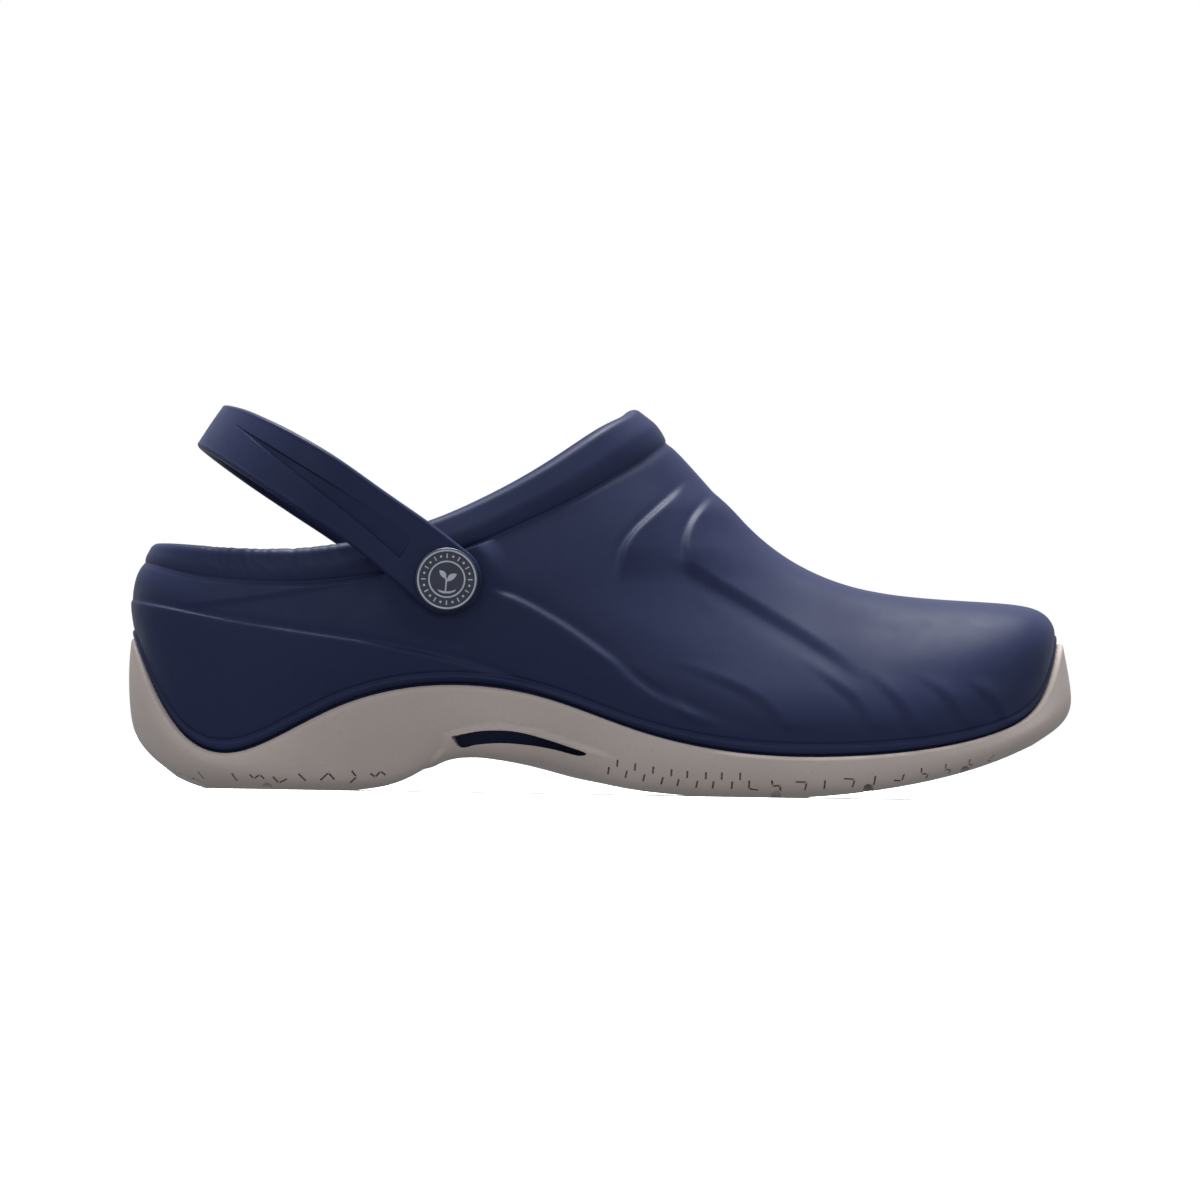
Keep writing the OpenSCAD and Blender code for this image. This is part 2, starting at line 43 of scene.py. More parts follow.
# ---------------------------------------------------------------- shape tables, as in the design
WALL, ROLL, LIP, GAP = 4.0, 2.0, 2.7, 0.12
PX, PZ = -46.4, 60.3
STRAP_IN, STRAP_T, REACH, STRAIGHT, END_R, REST = 38.4, 3.8, 79.5, 42.0, 10.0, 33.2
SEAT = STRAP_IN - 0.3
HEAD_IN = STRAP_IN + STRAP_T + 0.25
UPPER = [
 [[-131,0,0,36.5],[-128,12.8,12.8,26.5],[-118,23,23,8.4],[-101.5,30,30,3.8],[-76,32.5,32,17],[-47,34.5,32,23],[-18,37.5,32.5,19.5],[9,43.4,37,9.5],[38,47,44.5,4.5],[65.5,45.5,46.8,4.5],[91,38.8,43.2,8],[111.5,27,35,13],[123.5,14.3,23.7,21.5],[128.6,5,5,41]],
 [[-132.6,0,0,41.2],[-130,13.5,13.5,33.3],[-120,24,24,14.3],[-103,31,31,8.9],[-76.5,33.5,33,24],[-47,35.5,33,30],[-18,38.5,33.6,27],[9,44.3,38,17],[38,47.7,45.5,11.7],[66,46.3,47.5,11.4],[92,39.5,44,14],[113,27.5,35.8,19.5],[125,14.7,24.2,29],[129.4,5,5,46.6]],
 [[-134,0,0,48],[-131,14,14,42],[-121.5,25,25,27],[-104.5,31.8,31.8,22.5],[-78,34.6,34.6,31],[-47.5,36.6,35,36.5],[-18,39.2,35.6,36],[9,45,40,28],[38,48,46.6,22],[67,46.5,48,20],[94,39.6,44.6,22],[115,27.2,35.7,28.5],[126.3,14.3,24.2,37],[129.6,5,5,49.4]],
 [[-134.4,0,0,51.5],[-131.3,14,14,47.5],[-122,25,25,36.5],[-105.5,31.7,31.7,33],[-79,34.8,34.8,37],[-48,37.1,36.4,42.5],[-17.5,39,37.3,44.5],[9.5,44,41.3,37.5],[38,45,46,31],[68,43,46.5,29],[95,36.5,43,30.5],[115.5,25,34.5,37.5],[126,13.3,23,45],[128.4,5,5,52]],
 [[-134.3,0,0,54.5],[-131.2,13.9,13.9,51.5],[-122,24.7,24.7,44],[-106,31.2,31.2,41],[-80,34.5,34.5,42],[-48.5,37.2,37,47.5],[-17.5,38,37.3,52],[9.5,41.5,40.8,46],[37.5,40.5,43.5,40],[67,37.5,42.5,38.5],[93,31.5,39,40],[112,21.5,30.5,46],[121,11.5,20.5,51.8],[123.3,5,5,55.6]],
 [[-134,0,0,57],[-130.9,13.7,13.7,54.5],[-121.8,24.2,24.2,49],[-106,30.6,30.6,46.5],[-80.5,34,34,46.5],[-49,37,36.9,52],[-18,36.9,36.6,58],[9,38,38.5,54],[35,35,39.5,49.5],[60.5,31,37,47.5],[83,25,32.5,48.5],[99.5,16.5,25,52],[107,8,16.5,55.3],[109.5,4.5,4.5,56.8]],
 [[-133.6,0,0,59],[-130.5,13.4,13.4,57],[-121.5,23.7,23.7,52.5],[-105.9,30,30,50],[-80.5,33.5,33.5,50],[-49.3,36.4,36.4,55.5],[-19,35.7,35.6,63],[7,35,36,61.5],[30,31,35,58.5],[51,26,32,56],[68.5,20.5,27.5,56.3],[79.5,13,20,57.4],[84,5.5,12.5,58],[84.8,4,4,58.1]],
 [[-133.1,0,0,60.5],[-130,13.2,13.2,59],[-121.1,23.2,23.2,55.2],[-105.8,29.4,29.4,53],[-80.5,33,33,53],[-49.6,35.7,35.7,58.5],[-20.7,34.4,34.5,67],[3.5,32.8,33.8,68.3],[23.5,28,31.5,67.7],[39.5,22.5,28,65.7],[51.5,17,23,64.5],[59,10.5,17,63.6],[62,4.5,10.5,63],[62.5,3.5,3.5,62.9]],
 [[-132.5,0,0,61.8],[-129.4,12.9,12.9,60.6],[-120.6,22.6,22.6,57.4],[-105.7,28.8,28.8,55.5],[-80.5,32.5,32.5,55.5],[-49.8,35,35,61.2],[-23,33.2,33.4,70.3],[-1,30.8,31.6,74.5],[16,25.5,28.5,76.7],[27.8,20,24.5,76],[36,14.5,19.5,75.5],[41,9,14,74.9],[43,4,8.5,74.5],[43.5,3,3,74.3]],
 [[-131.8,0,0,62.9],[-128.8,12.6,12.6,62],[-120.1,22,22,59.3],[-105.6,28.2,28.2,57.5],[-80.5,32,32,57.5],[-49.9,34.3,34.3,63.3],[-25.3,32.1,32.3,73],[-6,29.2,29.8,79.3],[8,23.7,26,84.6],[17,18,21.5,87.3],[22.3,13,17,89.5],[25.2,8,12,90.8],[26.5,3.5,7,91.5],[26.8,2.5,2.5,91.6]],
 [[-131,0,0,63.9],[-128,12.2,12.2,63.2],[-119.5,21.4,21.4,61],[-105.4,27.6,27.6,59.3],[-80.5,31.5,31.5,59.3],[-50,33.6,33.6,65.5],[-28,31,31.3,75.2],[-11,27.8,28.4,83.2],[0.5,22.5,24.5,90],[8.5,17.3,20,94.6],[13,12.6,15.6,97.9],[15.8,8,11,99.7],[17.2,3.5,6.5,100.6],[17.6,2,2,100.8]],
 [[-129,0,0,67.6],[-126.2,11.4,11.4,67.5],[-118.2,20,20,66.9],[-105,25.8,25.8,66.1],[-80.5,29.2,29.2,66.9],[-53,29.8,29.8,73.6],[-34,28,28.5,81.8],[-19,25.5,26.2,90],[-8,21.2,22.8,97.3],[-1,16.8,18.8,102.2],[3.8,12.3,15,105],[6.7,8,10.5,106.4],[8.1,3.5,6,107.7],[8.4,1.5,1.5,107.8]],
]
BOTTOM = [[-124,0,0,9],[-121,12,12,8],[-113,21,21,6.3],[-99,28,28,5.5],[-76,31,30.5,9],[-47,33,30.5,12.6],[-18,35.5,31,11.6],[9,41.5,35.5,8],[37,45,42.8,5.8],[64,43.5,44.8,5.8],[89,37,41.3,8.6],[108,25.5,33,13],[119,12.5,21.5,18],[122.5,5,5,20.5]]
FLOOR = [[-127,0,0,27.5],[-124,12,12,27],[-115.5,20.3,20.3,26.5],[-101,26.5,26.5,26],[-76.5,29.7,29.3,26.5],[-47,31.5,29.5,26],[-18,34,30,22.5],[9,39.3,34,17.5],[37.5,42,40.3,13.5],[65,40.5,42,13.3],[90,33.8,38.5,15.8],[109,22.5,30,20],[119,11,19.2,23],[122,4,4,24.5]]
TURN = [1.1, 1.1, 2.2, 2.5, 1.7, 1.2, 1.1, 1.3, 1.5, 1.6, 1.6, 1.3, 1.1, 1.1]
OUTSOLE = [
 [[-134.2,0,0,42.8],[-131.8,14.5,14.5,34.3],[-122,26.3,26.3,14.8],[-103.5,33.3,33.3,8.4],[-76,35.8,35.3,24],[-47,37.7,35.3,30],[-18,40.7,35.8,27],[9,46.5,40.2,17.3],[38,49.7,47.5,11.5],[66,48.3,49.5,11.2],[92.5,41.7,46.3,14],[114,29.5,37.8,19.8],[127,15.5,25.5,29],[131.8,5,5,49.6]],
 [[-134.9,0,0,34],[-132.2,14.6,14.6,25],[-122.5,26.2,26.2,11.5],[-103.5,33.8,33.8,6.2],[-74,35.9,35.2,14.6],[-46.5,37.4,34.8,21.7],[-18,40.8,35.6,19],[9,46.9,40.3,12.3],[38,49.9,47.8,8.2],[66,48.6,49.9,8],[93,42.1,46.8,10.8],[115,29.9,38.3,17.2],[129,15.4,25.7,25.2],[134.8,5,5,33]],
 [[-134.1,0,0,20],[-130.5,14.2,14.2,14],[-120.5,25,25,6.6],[-103,33.2,33.2,3.9],[-65,35.3,34.3,5.2],[-46.3,35.8,33,14.6],[-18,40,34.5,12.8],[9,46.2,39.5,7.3],[38,49.5,47.3,4.8],[66,48.1,49.3,4.8],[93,41.4,46.2,8],[114.5,29.2,37.5,14.8],[128.5,15,25.2,21.8],[134.2,5,5,26]],
 [[-130.5,0,0,11.5],[-127,13.3,13.3,8],[-117.5,23.5,23.5,3],[-101,31.2,31.2,1.5],[-61,33.6,32.6,1.9],[-46,34,31,11.4],[-17.5,38,32.5,9.2],[8,44.4,37.8,3.3],[38,48,45.5,1.7],[65.5,46.5,47.7,2.3],[91.5,39.8,44.4,5.9],[112,27.8,36,12.4],[125.5,14,24,18.6],[131,5,5,21.2]],
 [[-121,0,0,3.1],[-118.5,11.5,11.5,2],[-111,21.5,21.5,-0.4],[-98,28,28,-0.6],[-60,30.8,30,0.6],[-45.7,31.5,28.5,10.5],[-17,35,30,7.9],[6.5,41.2,34.8,1.7],[37,45,42.5,-0.4],[64,43.5,44.8,0.8],[88,37,41.5,4.5],[107,25.5,33.5,9.5],[119.5,12.5,22,14.4],[124.5,5,5,16.6]],
]
WINDOW = [[-42.3,15.7],[-40.6,12.7],[-37,13.5],[-30,14.1],[-22,13.6],[-15,12.5],[-8.4,10.9],[-6,11.6],[-11,13.4],[-17,15.3],[-24,17.1],[-30,17.7],[-37,17.3]]
STRAP_TOP = [[0,10],[12,10.7],[28,10.9],[45,11.2],[58,10.5],[68,9.3],[75,7.9],[84,4.6]]
STRAP_LOW = [[0,-10],[11,-8.8],[28,-7.3],[45,-7.4],[62,-7.6],[84,-7.4]]


# ---------------------------------------------------------------- smooth surfaces through the tables
def line(r):
    n = len(r)
    a = [[c[0], (c[2] if j in (0, n - 1) else -c[1]), c[3]] for j, c in enumerate(r)]
    return np.array(a + [[c[0], c[2], c[3]] for c in r[-2:0:-1]], float)


def through(P):
    return P - (np.roll(P, 1, 0) - 2 * P + np.roll(P, -1, 0)) / 6


def net(T):
    R = np.array([through(line(r)) for r in T])
    D = R.copy()
    D[1:-1] = R[1:-1] - (R[:-2] - 2 * R[1:-1] + R[2:]) / 6
    return np.concatenate([[2 * D[0] - D[1]], D, [2 * D[-1] - D[-2]]])


def w3(f):
    return [(1 - f) ** 3 / 6, (3 * f**3 - 6 * f**2 + 4) / 6, (-3 * f**3 + 3 * f**2 + 3 * f + 1) / 6, f**3 / 6]


def d3(f):
    return [-((1 - f) ** 2) / 2, 1.5 * f**2 - 2 * f, -1.5 * f**2 + f + 0.5, f**2 / 2]


def unit(v):
    return v / np.maximum(np.linalg.norm(v, axis=-1, keepdims=True), 1e-12)


def surf(N, s, t):
    """Points, outward normals and upward tangents at s, t (arrays of one shape)."""
    R, M = N.shape[0], N.shape[1]
    t = np.clip(t, 0, R - 3 - 1e-6)
    i = np.floor(t).astype(int)
    f = t - i
    j = np.floor(s).astype(int)
    g = s - j
    wf, df, wg, dg = w3(f), d3(f), w3(g), d3(g)
    P = np.zeros(s.shape + (3,))
    U, V = P.copy(), P.copy()
    for a in range(4):
        for b in range(4):
            G = N[i + a, (j - 1 + b) % M]
            P += (wf[a] * wg[b])[..., None] * G
            U += (wf[a] * dg[b])[..., None] * G
            V += (df[a] * wg[b])[..., None] * G
    return P, unit(np.cross(U, V)), unit(V)


def on_line(r, s):
    C = through(line(r))
    M = len(C)
    j = np.floor(s).astype(int)
    w = w3(s - j)
    return sum(w[b][:, None] * C[(j - 1 + b) % M] for b in range(4))


def step(v):
    c = np.clip(v, 0, 1)
    return c * c * (3 - 2 * c)


def grow(P, d, h):
    t = np.roll(P, -1, 0) - np.roll(P, 1, 0)
    q = unit(np.stack([t[:, 1], -t[:, 0], 0 * t[:, 0]], 1))
    return P + q * d + np.array([0, 0, h])


NU, NO = net(UPPER), net(OUTSOLE)
COLS = 2 * (len(FLOOR) - 1)
TOP = len(UPPER) - 1


def roll_at(x):
    return ROLL * (0.3 + 0.7 * step((x + 110) / 50))


# ---------------------------------------------------------------- moulded details, as lines in the side view
def over(pts, x, z):
    """A mostly level line: how far a point lies above it, and how far along it, 0 to 1 from the heel."""
    P = np.array(pts, float)
    P = P[np.argsort(P[:, 0])]
    Z = np.interp(x, P[:, 0], P[:, 1])
    g = np.interp(x, (P[1:, 0] + P[:-1, 0]) / 2, np.diff(P[:, 1]) / np.maximum(np.diff(P[:, 0]), 1e-6))
    return (z - Z) / np.sqrt(1 + g * g), (x - P[0, 0]) / (P[-1, 0] - P[0, 0])


def beside(pts, x, z):
    """A mostly upright line: how far a point lies on its toe side, and how far down it, 0 to 1."""
    P = np.array(pts, float)
    P = P[np.argsort(P[:, 1])]
    X = np.interp(z, P[:, 1], P[:, 0])
    g = np.interp(z, (P[1:, 1] + P[:-1, 1]) / 2, np.diff(P[:, 0]) / np.maximum(np.diff(P[:, 1]), 1e-6))
    return (x - X) / np.sqrt(1 + g * g), (P[-1, 1] - z) / (P[-1, 1] - P[0, 1])


def fade(a, head, tail):
    """1 in the middle of a line, easing to 0 over its first and last parts."""
    return (step(a / head) if head else 1.0) * (step((1 - a) / tail) if tail else 1.0)


def spline(pts, per=8):
    """A smooth open line through given points."""
    P = np.array(pts, float)
    Q = np.vstack([2 * P[0] - P[1], P, 2 * P[-1] - P[-2]])
    out = []
    for i in range(1, len(Q) - 2):
        for k in range(per):
            t = k / per
            out.append(0.5 * (2 * Q[i] + (Q[i + 1] - Q[i - 1]) * t + (2 * Q[i - 1] - 5 * Q[i] + 4 * Q[i + 1] - Q[i + 2]) * t * t
                              + (3 * Q[i] - Q[i - 1] - 3 * Q[i + 1] + Q[i + 2]) * t**3))
    out.append(P[-1])
    return np.array(out)


HEEL_STEP = spline([[-140,54.2],[-118,50],[-104,47.4],[-85,44.6],[-66,42],[-47,38.4],[-35,35.3],[-12,27.6],[10,19.4],[30,15.4]])
HEEL_BAND = spline([[-128,50.5],[-112,52.2],[-98,54.2],[-80,57.4],[-62,61]])
FLANK = spline([[-42,61],[-35.6,58.8],[-24.2,55],[-12.7,48.9],[-1.1,41.1],[13,30.2],[28,23.0],[46,17.5]])
CREASE_A = spline([[25,91],[20.3,86.0],[15.3,81.3],[8.6,74.9],[5.2,69.5],[4.2,64],[4.0,60]])
CREASE_B = spline([[34,88],[29,83],[24.8,77.5],[22.9,71.7],[23.2,66],[24.5,61]])
SHOULDER = spline([[16,66.4],[24,64.4],[29.3,61.6],[39.7,55.8],[50,49.7],[57,45.6],[66.8,39.4],[78,31]])
FLUTES = [spline(p) for p in (
    [[-14,44],[6,36],[18,28],[26,19]],
    [[14,40],[32.6,33.2],[44.5,26.8],[53,17]],
    [[54,42],[63,34.5],[72,27],[77,17]],
    [[72,39],[80,31.5],[85.5,25],[89,17]],
    [[88,37],[96,31],[100.5,25],[103,20]],
    [[103,36],[109.6,30],[113,26],[115,21]])]


def ripple(x, y, z):
    """Small irregular unevenness, from -1 to 1."""
    return (np.sin(1.31 * x + 0.9 * z + 1.7 * np.sin(0.47 * x + 0.3 * y)) * np.sin(1.07 * y + 0.63 * x + 0.8 * np.sin(0.9 * z))
            + 0.6 * np.sin(2.3 * x - 1.9 * y + 1.1 * z)) / 1.6


def upper_detail(P, t):
    """How far the moulded details stand out of the upper's smooth surface."""
    x, y, z = P[..., 0] + 1.3, P[..., 1], P[..., 2]
    r = roll_at(P[..., 0])
    u = np.clip(t - (TOP - 1), 0, 1)
    rise = 0.45 * step(u / 0.6) + 0.55 * np.sqrt(np.clip(1 - (1 - np.clip(u / 0.6, 0, 1)) ** 2, 0, 1))
    d = r * rise
    front = 0.45 + 0.55 * step((x + 100) / 45)
    d = d - 0.30 * front * np.exp(-(((t - (TOP - 1) + 0.05) / 0.14) ** 2))
    body = step((TOP - 1.05 - t) / 0.9)          # the panels end under the collar
    side = step((np.abs(y) - 2) / 6)
    # raised lower heel panel, with a ledge along its top
    q, a = over(HEEL_STEP, x, z)
    k = (1 - step((x + 12) / 34)) * (0.35 + 0.65 * step((np.abs(y) - 4) / 16))
    sharp = 0.9 + 1.6 * step((x + 70) / 50)
    d = d + k * body * (0.95 * step((-q + sharp / 2) / sharp) * np.exp(-np.maximum(-q - 1, 0) / 15) - 0.18 * np.exp(-(((q - 0.9) / 1.2) ** 2)))
    # soft band behind the strap
    q, a = over(HEEL_BAND, x, z)
    d = d + body * side * fade(a, 0.3, 0.15) * 0.42 * step((q + 1.1) / 2.2) * np.exp(-np.maximum(q - 1, 0) / 5)
    # flank below the strap end
    q, a = over(FLANK, x, z)
    soft = 1.6 + 2.4 * a
    d = d + body * side * fade(a, 0.12, 0.35) * (1.45 * step((-q + soft / 2) / soft) * np.exp(-np.maximum(-q - 2, 0) / 13) - 0.22 * np.exp(-(((q - 1.4) / 2.0) ** 2)))
    # two creases on the side of the instep
    for L, h, w in ((CREASE_A, 1.25, 15.0), (CREASE_B, 1.0, 13.0)):
        q, a = beside(L, x, z)
        d = d + body * side * fade(a, 0.35, 0.35) * (h * step((q + 0.9) / 1.8) * np.exp(-np.maximum(q - 1.5, 0) / w) - 0.15 * np.exp(-(((q + 1.1) / 1.2) ** 2)))
    # soft shoulder between the top and the side of the forefoot
    q, a = over(SHOULDER, x, z)
    d = d + body * side * fade(a, 0.25, 0.3) * (0.95 * step((q + 1.8) / 3.6) * np.exp(-np.maximum(q - 2, 0) / 12) - 0.30 * np.exp(-(((q + 2.4) / 2.8) ** 2)))
    # soft flutes fanning over the side of the forefoot
    for L in FLUTES:
        q, a = beside(L, x, z)
        d = d + body * side * fade(a, 0.5, 0.2) * (0.55 * step((q + 1.6) / 3.2) * np.exp(-np.maximum(q - 1.5, 0) / 6.0) - 0.10 * np.exp(-(((q + 1.6) / 1.8) ** 2)))
    # wrinkled rim over the heel, with a small seam
    rim = step((t - (TOP - 0.75)) / 0.3) * step((x + 118) / 8) * (1 - step((x + 78) / 8))
    d = d + rim * (0.16 * ripple(x, y, z) - 0.3 * np.exp(-(((x + 88.2 + 1.2 * (t - TOP)) / 0.75) ** 2)))
    return d


def outward(verts, faces):
    """The faces turned so that the closed solid's volume is positive."""
    V = np.asarray(verts, float)
    vol = 0.0
    for k in set(len(f) for f in faces):
        A = np.array([f for f in faces if len(f) == k])
        for j in range(1, k - 1):
            vol += np.einsum("ij,ij->", V[A[:, 0]], np.cross(V[A[:, j]], V[A[:, j + 1]]))
    return faces if vol > 0 else [list(f)[::-1] for f in faces]


def make(name, verts, faces, mat, sharp=None, smooth=True, turned=True):
    faces = faces if isinstance(faces, list) else faces.tolist()
    if turned:
        faces = outward(verts, faces)
    me = bpy.data.meshes.new(name)
    me.from_pydata([tuple(v) for v in (np.asarray(verts) * MM).tolist()], [], faces)
    me.validate()
    o = bpy.data.objects.new(name, me)
    bpy.context.scene.collection.objects.link(o)
    if mat:
        me.materials.append(mat)
    if smooth:
        me.polygons.foreach_set("use_smooth", [True] * len(me.polygons))
        if sharp:
            me.set_sharp_from_angle(angle=math.radians(sharp))
    me.update()
    return o


def loft(rings, cap_first=True, cap_last=True):
    """Closed solid from closed rings of one length: quads between them and a ladder of strips across each end."""
    n = len(rings[0])
    V = np.concatenate(rings)
    F = []
    i = np.arange(n)
    for k in range(len(rings) - 1):
        a, b = k * n + i, k * n + (i + 1) % n
        F.append(np.stack([a, b, b + n, a + n], 1))
    quads = np.concatenate(F).tolist()
    h = n // 2

    def ladder(o, flip):
        out = [[o, o + n - 1, o + 1]]
        out += [[o + k, o + n - k, o + n - k - 1, o + k + 1] for k in range(1, h - 1)]
        out.append([o + h - 1, o + h + 1, o + h])
        return [f[::-1] for f in out] if flip else out

    if cap_first:
        quads += ladder(0, False)
    if cap_last:
        quads += ladder((len(rings) - 1) * n, True)
    return V, quads


def apply_mods(o):
    dg = bpy.context.evaluated_depsgraph_get()
    me = bpy.data.meshes.new_from_object(o.evaluated_get(dg))
    old = o.data
    o.modifiers.clear()
    o.data = me
    bpy.data.meshes.remove(old)
    return o


def cut(o, cutter, how="DIFFERENCE"):
    m = o.modifiers.new("cut", "BOOLEAN")
    m.operation = how
    m.object = cutter
    m.solver = "MANIFOLD"
    bpy.context.view_layer.update()
    apply_mods(o)
    bpy.data.objects.remove(cutter, do_unlink=True)
    return o


def finish_smooth(o, angle):
    me = o.data
    me.polygons.foreach_set("use_smooth", [True] * len(me.polygons))
    me.set_sharp_from_angle(angle=math.radians(angle))
    me.update()


def boxes(items):
    """One mesh of separate closed boxes: each is 8 corners, the lower four then the upper four, anticlockwise."""
    V, F = [], []
    for c in items:
        b = len(V)
        V += [list(p) for p in c]
        F += [[b + 3, b + 2, b + 1, b], [b + 4, b + 5, b + 6, b + 7]]
        F += [[b + k, b + (k + 1) % 4, b + 4 + (k + 1) % 4, b + 4 + k] for k in range(4)]
    return np.array(V), F


def lathe(profile, seg=128, side=1, centre=(PX, PZ)):
    """Closed solid turned about the strap's axis; the profile is (radius, distance from the middle plane), going outward then back."""
    prof = np.array(profile, float)
    n = len(prof)
    a = np.linspace(0, 2 * np.pi, seg, endpoint=False)
    V = [[centre[0] + r * math.cos(q), -side * h, centre[1] + r * math.sin(q)] for r, h in prof for q in a]
    F = []
    for k in range(n - 1):
        for i in range(seg):
            j = (i + 1) % seg
            f = [k * seg + i, (k + 1) * seg + i, (k + 1) * seg + j, k * seg + j]
            F.append(f if side > 0 else f[::-1])
    f0, f1 = list(range(seg)), [(n - 1) * seg + i for i in range(seg - 1, -1, -1)]
    F += [f0, f1] if side > 0 else [f0[::-1], f1[::-1]]
    return np.array(V), F


# ---------------------------------------------------------------- materials
def mat_new(name):
    m = bpy.data.materials.new(name)
    m.use_nodes = True
    t = m.node_tree
    t.nodes.clear()
    out = t.nodes.new("ShaderNodeOutputMaterial")
    b = t.nodes.new("ShaderNodeBsdfPrincipled")
    t.links.new(b.outputs[0], out.inputs[0])
    co = t.nodes.new("ShaderNodeTexCoord")
    return m, t, b, co.outputs["Object"]


def noise(t, co, scale, detail=3.0, rough=0.55, dist=0.0):
    n = t.nodes.new("ShaderNodeTexNoise")
    n.inputs["Scale"].default_value = scale
    n.inputs["Detail"].default_value = detail
    n.inputs["Roughness"].default_value = rough
    n.inputs["Distortion"].default_value = dist
    t.links.new(co, n.inputs["Vector"])
    return n.outputs[0]


def ramp(t, fac, stops):
    r = t.nodes.new("ShaderNodeValToRGB")
    e = r.color_ramp.elements
    while len(e) < len(stops):
        e.new(0.5)
    for k, (p, c) in enumerate(stops):
        e[k].position = p
        e[k].color = (c[0], c[1], c[2], 1)
    t.links.new(fac, r.inputs[0])
    return r.outputs[0]


def mixc(t, fac, a, b, mode="MIX"):
    m = t.nodes.new("ShaderNodeMix")
    m.data_type = "RGBA"
    m.blend_type = mode
    if isinstance(fac, float):
        m.inputs[0].default_value = fac
    else:
        t.links.new(fac, m.inputs[0])
    for k, v in ((6, a), (7, b)):
        if isinstance(v, tuple):
            m.inputs[k].default_value = (v[0], v[1], v[2], 1)
        else:
            t.links.new(v, m.inputs[k])
    return m.outputs[2]


def maprange(t, v, a, b, c, d):
    m = t.nodes.new("ShaderNodeMapRange")
    for k, q in zip((1, 2, 3, 4), (a, b, c, d)):
        m.inputs[k].default_value = q
    t.links.new(v, m.inputs[0])
    return m.outputs[0]


def bump(t, h, strength, dist, prev=None):
    b = t.nodes.new("ShaderNodeBump")
    b.inputs["Strength"].default_value = strength
    b.inputs["Distance"].default_value = dist
    t.links.new(h, b.inputs["Height"])
    if prev is not None:
        t.links.new(prev, b.inputs["Normal"])
    return b.outputs[0]


def navy_foam(name, dark, light, rough=(0.44, 0.56), grain=1.0):
    m, t, b, co = mat_new(name)
    big = noise(t, co, 16, 4)
    fine = noise(t, co, 420, 3)
    c = ramp(t, big, [(0.3, dark), (0.72, light)])
    c = mixc(t, maprange(t, fine, 0.3, 0.75, 0.0, 0.3), c, tuple(v * 1.2 for v in light))
    t.links.new(c, b.inputs["Base Color"])
    t.links.new(maprange(t, noise(t, co, 130, 4), 0.25, 0.75, rough[0], rough[1]), b.inputs["Roughness"])
    n1 = bump(t, noise(t, co, 1900, 2), 0.14 * grain, 0.00012)
    n2 = bump(t, noise(t, co, 95, 3), 0.10, 0.0006, n1)
    t.links.new(n2, b.inputs["Normal"])
    b.inputs["Specular IOR Level"].default_value = 0.42
    b.inputs["IOR"].default_value = 1.26
    b.inputs["Sheen Weight"].default_value = 0.03
    b.inputs["Sheen Roughness"].default_value = 0.45
    b.inputs["Sheen Tint"].default_value = (0.35, 0.45, 1.0, 1)
    return m


NAVY_D, NAVY_L = (0.0098, 0.0150, 0.047), (0.0120, 0.0180, 0.056)
M_upper = navy_foam("upper_foam_navy", NAVY_D, NAVY_L)
M_strap = navy_foam("strap_foam_navy", (0.0102, 0.0155, 0.048), (0.0125, 0.0185, 0.057), rough=(0.42, 0.53))


def rubber_taupe():
    m, t, b, co = mat_new("sole_rubber_taupe")
    big = noise(t, co, 20, 4)
    c = ramp(t, big, [(0.3, (0.345, 0.30, 0.275)), (0.72, (0.40, 0.35, 0.322))])
    speck = noise(t, co, 900, 2)
    c = mixc(t, maprange(t, speck, 0.62, 0.78, 0.0, 0.35), c, (0.24, 0.205, 0.185))
    c = mixc(t, maprange(t, noise(t, co, 700, 2), 0.66, 0.8, 0.0, 0.25), c, (0.56, 0.51, 0.47))
    # a little dust on the lowest millimetres
    sep = t.nodes.new("ShaderNodeSeparateXYZ")
    t.links.new(co, sep.inputs[0])
    low = maprange(t, sep.outputs[2], 0.0, 0.004, 0.22, 0.0)
    c = mixc(t, low, c, (0.19, 0.165, 0.145))
    t.links.new(c, b.inputs["Base Color"])
    t.links.new(maprange(t, noise(t, co, 240, 3), 0.25, 0.75, 0.56, 0.72), b.inputs["Roughness"])
    n1 = bump(t, noise(t, co, 1500, 2), 0.22, 0.00012)
    n2 = bump(t, noise(t, co, 130, 3), 0.08, 0.0005, n1)
    t.links.new(n2, b.inputs["Normal"])
    b.inputs["Specular IOR Level"].default_value = 0.35
    return m


M_sole = rubber_taupe()


def plastic(name, base, rough, spec=0.5):
    m, t, b, co = mat_new(name)
    c = ramp(t, noise(t, co, 260, 3), [(0.3, base), (0.75, tuple(v * 1.35 for v in base))])
    t.links.new(c, b.inputs["Base Color"])
    t.links.new(maprange(t, noise(t, co, 700, 3), 0.25, 0.75, rough - 0.05, rough + 0.08), b.inputs["Roughness"])
    t.links.new(bump(t, noise(t, co, 2600, 2), 0.08, 0.00006), b.inputs["Normal"])
    b.inputs["Specular IOR Level"].default_value = spec
    return m


M_rivet = plastic("rivet_plastic_navy", (0.014, 0.017, 0.036), 0.34)
M_lock = plastic("lock_plastic_navy", (0.016, 0.019, 0.040), 0.46)
M_print = plastic("print_pale_blue_grey", (0.30, 0.335, 0.385), 0.45)


